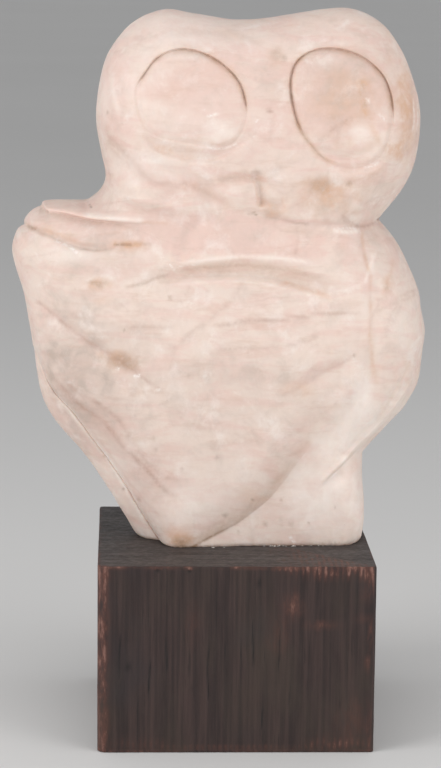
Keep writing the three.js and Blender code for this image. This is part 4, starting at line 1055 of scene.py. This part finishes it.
def timber_mesh():
    """The block with rounded edges, rings, cracks and dents, and what its colours go by."""
    grid, faces = timber_grid()
    x, y, out, inset = plan_round(grid[:, 0], grid[:, 1])
    z = grid[:, 2]
    down, up = PLINTH_TOP - z, z - PLINTH_LOW[2]
    fall = np.minimum(down, up)
    near = (inset < TOP_ROUND) & (fall < TOP_ROUND)
    a, b = TOP_ROUND - inset[near], TOP_ROUND - fall[near]
    scale = np.maximum(a, b) / np.hypot(a, b)
    pull = (TOP_ROUND - a * scale) - inset[near]
    x[near] -= out[near, 0] * pull
    y[near] -= out[near, 1] * pull
    inset[near] = TOP_ROUND - a * scale
    fall[near] = TOP_ROUND - b * scale
    z = np.where(down <= up, PLINTH_TOP - fall, PLINTH_LOW[2] + fall)

    waves = ring_wave(x, y, z)
    is_side = inset < TOP_ROUND * 0.3
    dips = PLANE_DIPS * (1 + lumps(np.column_stack([x, y, z]), PLANE_DIP_SIZE, 12))
    sunk = RING_RELIEF * (0.5 - 0.5 * waves) + dips
    front = out[:, 1] < -0.9
    mark = np.zeros(len(x))
    for cx, low, high in CRACKS:
        sway = CRACK_SWAY * np.sin(z / CRACK_SWAY_LENGTH + cx)
        ends = smooth((z - low) / CRACK_END) * smooth((high - z) / CRACK_END)
        mark += np.where(front & is_side, bell((x - cx - sway) / CRACK_HALF_WIDTH) * ends, 0)
    dents = np.zeros(len(x))
    for cx, cz, r in DENTS + HOLES:
        dents += np.where(front & is_side, bell(np.hypot(x - cx, z - cz) / r), 0)
    sunk += CRACK_DEPTH * np.clip(mark, 0, 1) + DENT_DEPTH * np.clip(dents, 0, 1)
    weight_side = smooth((TOP_ROUND - inset) / TOP_ROUND)
    x -= out[:, 0] * sunk * weight_side
    y -= out[:, 1] * sunk * weight_side
    on_top = (down <= up) & (inset > 0)
    z = np.where(on_top, z - 0.5 * sunk * smooth(inset / TOP_ROUND), z)

    edge_closeness = smooth((WORN_EDGE - inset) / WORN_EDGE) * smooth((WORN_EDGE - fall) / WORN_EDGE)
    patchy = lumps(np.column_stack([x, y, z]), 9.0, 13, 3)
    streak = lumps(np.column_stack([x, y, z * 0.15]), 6.0, 14, 3)
    corner = np.hypot(x + PLINTH_HALF, y + PLINTH_HALF)
    wear = edge_closeness * (0.4 + 0.8 * patchy) + bell((corner - 3) / WORN_EDGE) * (0.95 + 0.5 * streak)
    saw = 0.6 + 0.4 * np.sin(2 * math.pi * x / SAW_PITCH)
    for centre, half, strength, rough in WORN_PATCHES:
        reach = np.hypot((x - centre[0]) / half[0], (z - centre[1]) / half[1]) + 0.3 * patchy
        share = strength * smooth(WORN_END - reach) * np.where(rough, saw, 0.7 + 0.6 * streak)
        wear += np.where(front, share, 0)
    attributes = dict(
        wear=np.clip(wear, 0, 1.2),
        crack=np.clip(mark + 0.8 * dents, 0, 1),
        late=waves,
        top=np.where((down <= up) & (inset > TOP_ROUND), 1.0, 0.0),
    )
    return np.column_stack([x, y, z]), faces, attributes


def make_plinth():
    vertices, faces, attributes = timber_mesh()
    mesh = mesh_from("timber_block", vertices * MM, faces, attributes)
    shade_smooth(mesh)
    mesh.polygons[len(mesh.polygons) - 1].use_smooth = False
    return new_object("timber_block", mesh)


class Graph:
    """A short way to write a material's nodes."""

    def __init__(self, name):
        self.material = bpy.data.materials.new(name)
        self.material.use_nodes = True
        self.nodes = self.material.node_tree.nodes
        self.links = self.material.node_tree.links
        self.shader = self.nodes["Principled BSDF"]

    def node(self, kind, inputs=None, **settings):
        node = self.nodes.new(kind)
        for key, value in settings.items():
            setattr(node, key, value)
        for key, value in (inputs or {}).items():
            self.put(value, node.inputs[key])
        return node

    def put(self, value, socket):
        if isinstance(value, bpy.types.NodeSocket):
            self.links.new(value, socket)
        else:
            socket.default_value = value

    def place(self, scale=(1, 1, 1), turn=(0, 0, 0)):
        here = self.node("ShaderNodeTexCoord").outputs["Object"]
        return self.node("ShaderNodeMapping", dict(Vector=here, Rotation=turn, Scale=scale)).outputs[0]

    def noise(self, scale, detail=3.0, rough=0.5, where=None, warp=0.0):
        if where is None:
            where = self.place()
        inputs = dict(Scale=scale, Detail=detail, Roughness=rough, Distortion=warp, Vector=where)
        return self.node("ShaderNodeTexNoise", inputs).outputs["Fac"]

    def math(self, operation, a, b=0.0, clamp=False):
        node = self.node("ShaderNodeMath", operation=operation, use_clamp=clamp)
        self.put(a, node.inputs[0])
        self.put(b, node.inputs[1])
        return node.outputs[0]

    def times(self, a, b, clamp=False):
        return self.math("MULTIPLY", a, b, clamp)

    def add(self, a, b, clamp=False):
        return self.math("ADD", a, b, clamp)

    def steps(self, value, low, high, to_low=0.0, to_high=1.0):
        inputs = {"Value": value, "From Min": low, "From Max": high, "To Min": to_low, "To Max": to_high}
        return self.node("ShaderNodeMapRange", inputs, interpolation_type="SMOOTHSTEP").outputs[0]

    def mix(self, share, a, b, how="MIX"):
        node = self.node("ShaderNodeMix", data_type="RGBA", blend_type=how)
        self.put(share, node.inputs["Factor"])
        self.put(a, node.inputs[6])
        self.put(b, node.inputs[7])
        return node.outputs[2]

    def layers(self, colour, *washes):
        """Lays washes over a colour, each a share and the colour it brings."""
        for share, wash in washes:
            colour = self.mix(share, colour, wash)
        return colour

    def attribute(self, name):
        return self.node("ShaderNodeAttribute", attribute_name=name).outputs["Fac"]

    def broken(self, name, clouds, *levels):
        """A point attribute broken up by a noise."""
        return self.times(self.attribute(name), self.steps(clouds, *levels), True)

    def bump(self, height, distance, strength=1.0, under=None):
        inputs = dict(Height=height, Distance=distance, Strength=strength)
        if under is not None:
            inputs["Normal"] = under
        return self.node("ShaderNodeBump", inputs).outputs[0]

    def shade(self, **inputs):
        for key, value in inputs.items():
            self.put(value, self.shader.inputs[key.replace("_", " ")])


def rgb(r, g, b):
    return (r, g, b, 1.0)


def alabaster_material():
    g = Graph("alabaster")
    cream = rgb(0.77, 0.64, 0.565)
    blush = rgb(0.745, 0.555, 0.49)
    grey = rgb(0.56, 0.455, 0.395)
    rust_and_shade = rgb(0.66, 0.42, 0.29)
    brown = rgb(0.28, 0.155, 0.08)
    vein = rgb(0.47, 0.295, 0.235)
    white = rgb(0.90, 0.84, 0.80)
    ochre = rgb(0.60, 0.41, 0.32)
    pale = rgb(0.88, 0.79, 0.725)
    broad = g.noise(18.0, 5.0, 0.55, warp=0.8)
    cloud = g.noise(75.0, 5.0, 0.62, warp=0.5)
    bedded = g.noise(60.0, 5.0, 0.6, g.place((0.55, 0.8, 1.9), (0.0, 0.25, 0.0)), 0.9)
    strokes = g.noise(105.0, 5.0, 0.65, g.place((0.5, 0.8, 2.2), (0.0, 0.2, 0.0)), 0.4)
    threads = g.noise(1.0, 3.0, 0.5, g.place((14, 14, 46), (0.1, 0.42, 0.2)), 0.7)
    thread = g.steps(g.math("ABSOLUTE", g.math("SUBTRACT", threads, 0.5)), 0.0, 0.03, 1.0, 0.0)
    pinkness = g.broken("blush", broad, 0.3, 0.65, 0.5, 1.0)
    greyness = g.broken("grey", cloud, 0.3, 0.65, 0.25, 0.6)
    # Brown wash: dirt, and painted shade in creases, the eye grooves, the shield's step and at the foot.
    dirt_and_shade_mask = g.broken("dirt_and_shade", g.noise(280.0, 4.0, 0.75), 0.25, 0.6, 0.3, 1.0)
    colour = g.layers(
        cream,
        (g.add(pinkness, g.steps(bedded, 0.42, 0.66, 0.0, 0.85), True), blush),
        (g.add(greyness, g.steps(cloud, 0.48, 0.74, 0.0, 0.34), True), grey),
        (g.steps(strokes, 0.5, 0.72, 0.0, 0.3), ochre),
        (g.steps(g.noise(70.0, 6.0, 0.68, warp=0.3), 0.5, 0.74, 0.0, 0.42), white),
        (g.times(thread, g.steps(g.noise(22.0, 3.0, 0.6), 0.48, 0.68, 0.0, 0.13)), vein),
        (g.broken("vein", g.noise(150.0, 4.0, 0.7), 0.3, 0.62, 0.18, 0.48), vein),
        (g.broken("rust_and_shade", g.noise(110.0, 5.0, 0.7), 0.32, 0.64, 0.08, 0.6), rust_and_shade),
        # The pale and white washes carry pale clouds, white bruises and painted highlights.
        (g.broken("pale", cloud, 0.3, 0.6, 0.3, 0.62), pale),
        (g.broken("white", g.noise(380.0, 4.0, 0.75), 0.36, 0.58), white),
        (g.times(dirt_and_shade_mask, 0.85), brown),
        (g.steps(g.noise(700.0, 2.0, 0.6), 0.72, 0.8, 0.0, 0.25), vein),
    )
    grain = g.mix(g.noise(420.0, 3.0, 0.6), rgb(0.5, 0.42, 0.38), rgb(1, 1, 1))
    colour = g.mix(0.16, colour, grain, "MULTIPLY")
    scratches = g.noise(1.0, 3.0, 0.7, g.place((900, 900, 130), (0.5, 0.9, 0.2)))
    rub = g.bump(scratches, 0.00006, 0.5)
    pores = g.bump(g.noise(1300.0, 2.0, 0.6), 0.00006, 0.5, rub)
    ripple = g.bump(g.noise(120.0, 3.0, 0.55), 0.0004, 0.4, pores)
    g.shade(
        Base_Color=colour,
        Roughness=g.steps(cloud, 0.3, 0.7, 0.4, 0.56),
        Normal=ripple,
        Subsurface_Weight=0.12,
        Subsurface_Radius=(0.008, 0.004, 0.0025),
        Subsurface_Scale=1.0,
        Specular_IOR_Level=0.36,
    )
    return g.material


def timber_material():
    g = Graph("stained_timber")
    dark = rgb(0.0225, 0.0138, 0.0130)
    lighter = rgb(0.048, 0.0285, 0.0255)
    red = rgb(0.108, 0.042, 0.030)
    pale = rgb(0.285, 0.155, 0.125)
    black = rgb(0.007, 0.006, 0.006)
    grey = rgb(0.052, 0.041, 0.038)
    olive = rgb(0.046, 0.033, 0.024)
    ink = rgb(0.026, 0.020, 0.022)
    top_dark = rgb(0.033, 0.0275, 0.0265)
    top_light = rgb(0.076, 0.065, 0.062)
    streak = g.noise(230.0, 4.0, 0.6, g.place((1, 1, 0.045)), 0.15)
    thin = g.noise(620.0, 3.0, 0.65, g.place((1, 1, 0.03)))
    broad = g.noise(38.0, 4.0, 0.6, g.place((1, 1, 0.4)), 0.4)
    hair = g.noise(520.0, 3.0, 0.7, g.place((1, 1, 0.05)))
    top_streak = g.noise(300.0, 4.0, 0.6, g.place((0.08, 1, 1)), 0.3)
    patchy = g.noise(300.0, 5.0, 0.7, g.place((1, 1, 0.3)))
    late = g.steps(g.attribute("late"), -0.8, 0.9)
    tone = g.add(g.add(g.times(streak, 0.62), g.times(thin, 0.3)), g.times(late, 0.05))
    bare = g.times(g.steps(g.attribute("wear"), 0.4, 1.0), g.steps(patchy, 0.5, 0.66), True)
    colour = g.layers(
        g.mix(g.steps(tone, 0.36, 0.66), dark, lighter),
        (g.steps(broad, 0.4, 0.75, 0.0, 0.5), olive),
        (g.steps(g.noise(24.0, 3.0), 0.55, 0.8, 0.0, 0.5), ink),
        (g.times(g.steps(hair, 0.60, 0.72), g.steps(broad, 0.35, 0.6, 0.25, 0.7)), black),
        (g.attribute("top"), g.mix(g.steps(top_streak, 0.35, 0.7), top_dark, top_light)),
        (g.times(g.broken("wear", patchy, 0.3, 0.6), 0.8), red),
        (g.times(bare, 0.6), pale),
        (g.times(g.attribute("crack"), 0.85), black),
        (g.steps(g.noise(420.0, 3.0, 0.7), 0.7, 0.8, 0.0, 0.25), grey),
    )
    fine = g.bump(thin, 0.00015, 0.6)
    grain = g.bump(tone, 0.0005, 0.6, fine)
    g.shade(
        Base_Color=colour,
        Roughness=g.steps(patchy, 0.3, 0.7, 0.46, 0.66),
        Normal=grain,
        Specular_IOR_Level=0.28,
    )
    return g.material


def floor_material():
    g = Graph("pale_floor")
    colour = g.mix(g.noise(1.5, 2.0), rgb(0.70, 0.69, 0.68), rgb(0.74, 0.73, 0.72))
    g.shade(Base_Color=colour, Roughness=0.75)
    return g.material


# Old glue that shows as white flecks where the stone meets the timber, thickest on the right
FLECK_SEED = 7
FLECK_COUNT = 30
FLECK_SPANS = [(13, 40), (18, 34), (-15, 52)]
FLECK_SIZE = (0.15, 0.42)
FLECK_OUT = 1.4


def make_flecks(owl):
    """Small flattened lumps of dried glue along the front of the foot."""
    low = (PLINTH_TOP + 0.3) * MM
    rim = [v.co for v in owl.data.vertices if abs(v.co.z - low) < 0.5 * MM and v.co.y < -0.01]
    xs, ys = np.array(sorted((p.x, p.y) for p in rim)).T / MM
    rng = random.Random(FLECK_SEED)
    work = bmesh.new()
    for _ in range(FLECK_COUNT):
        x = rng.choice([rng.uniform(*span) for span in FLECK_SPANS])
        y = ys[np.abs(xs - x) < 3].min() - rng.uniform(0, FLECK_OUT)
        size = rng.uniform(*FLECK_SIZE)
        place = Matrix.Translation(Vector((x, y, PLINTH_TOP + 0.1)) * MM)
        shape = Matrix.Diagonal(Vector((rng.uniform(0.7, 1.8), rng.uniform(0.6, 1.4), 0.5, 1)))
        bmesh.ops.create_icosphere(work, subdivisions=2, radius=size * MM, matrix=place @ shape)
    for vertex in work.verts:
        p = vertex.co / MM
        vertex.co += Vector(noise.noise_vector(p * 1.7)) * 0.18 * MM
    mesh = bpy.data.meshes.new("glue_flecks")
    work.to_mesh(mesh)
    work.free()
    shade_smooth(mesh)
    return new_object("glue_flecks", mesh)


def glue_material():
    g = Graph("dried_glue")
    colour = g.mix(g.noise(900.0, 3.0), rgb(0.62, 0.55, 0.48), rgb(0.85, 0.82, 0.78))
    g.shade(Base_Color=colour, Roughness=0.5, Normal=g.bump(g.noise(1500.0, 3.0), 0.0001, 0.5))
    return g.material


# Camera as solved from the timber block's edges, for a frame 441 wide and 768 high
FRAME_HEIGHT = 768
FOCAL_PIXELS = 2752.6
SENSOR = 36.0
CAMERA_AT = Vector((-0.05825, -1.4064, 0.4225))
CAMERA_PITCH, CAMERA_YAW, CAMERA_ROLL = 0.1728, 0.0365, -0.0098


def make_camera():
    data = bpy.data.cameras.new("camera")
    data.sensor_width = SENSOR
    data.lens = FOCAL_PIXELS * SENSOR / FRAME_HEIGHT
    data.clip_end = 100
    camera = new_object("camera", data)
    cos_pitch, sin_pitch = math.cos(CAMERA_PITCH), math.sin(CAMERA_PITCH)
    ahead = Vector((math.sin(CAMERA_YAW) * cos_pitch, math.cos(CAMERA_YAW) * cos_pitch, -sin_pitch))
    right = Vector((math.cos(CAMERA_YAW), -math.sin(CAMERA_YAW), 0))
    down = -right.cross(ahead)
    turned_right = math.cos(CAMERA_ROLL) * right + math.sin(CAMERA_ROLL) * down
    turned_down = math.cos(CAMERA_ROLL) * down - math.sin(CAMERA_ROLL) * right
    turn = Matrix((turned_right, -turned_down, -ahead)).transposed().to_4x4()
    camera.matrix_world = Matrix.Translation(CAMERA_AT) @ turn
    bpy.context.scene.camera = camera


# Area lights aimed at one point: place, size and watts
AIM = Vector((0, 0, 0.2))
LIGHTS = dict(
    key=((1.25, -1.05, 0.26), (1.0, 1.0), 15),
    fill=((-1.45, -0.85, 0.62), (1.0, 1.0), 16.5),
    front=((0.15, -2.3, 0.03), (1.4, 0.7), 8.0),
    top=((0.0, -0.4, 1.7), (1.2, 0.8), 5.5),
)
WORLD_LIGHT = 0.5
FLOOR_HALF = 30.0


def make_light(name, at, size, watts):
    data = bpy.data.lights.new(name, "AREA")
    data.shape = "RECTANGLE"
    data.size, data.size_y = size
    data.energy = watts
    light = new_object(name, data)
    light.location = at
    light.rotation_euler = (AIM - Vector(at)).to_track_quat("-Z", "Y").to_euler()


def make_studio():
    half = FLOOR_HALF
    corners = [(-half, -half, 0), (half, -half, 0), (half, half, 0), (-half, half, 0)]
    mesh = mesh_from("floor", corners, [(0, 1, 2, 3)])
    floor = new_object("floor", mesh)
    floor.data.materials.append(floor_material())
    for name, light in LIGHTS.items():
        make_light(name, *light)
    world = bpy.data.worlds.new("studio")
    world.use_nodes = True
    background = world.node_tree.nodes["Background"]
    background.inputs["Color"].default_value = rgb(0.86, 0.87, 0.88)
    background.inputs["Strength"].default_value = WORLD_LIGHT
    bpy.context.scene.world = world
    bpy.context.scene.view_settings.view_transform = "Standard"


def settle(piece, material, slot_name, *nodes):
    piece.data.materials.append(material)
    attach(piece, ROOT)
    if nodes:
        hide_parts(*nodes)


make_camera()
make_studio()
owl_piece = make_owl()
settle(owl_piece, alabaster_material(), "alabaster", "owl_statue")
settle(make_plinth(), timber_material(), "stained_timber", "timber_plinth")
settle(make_flecks(owl_piece), glue_material(), "alabaster")
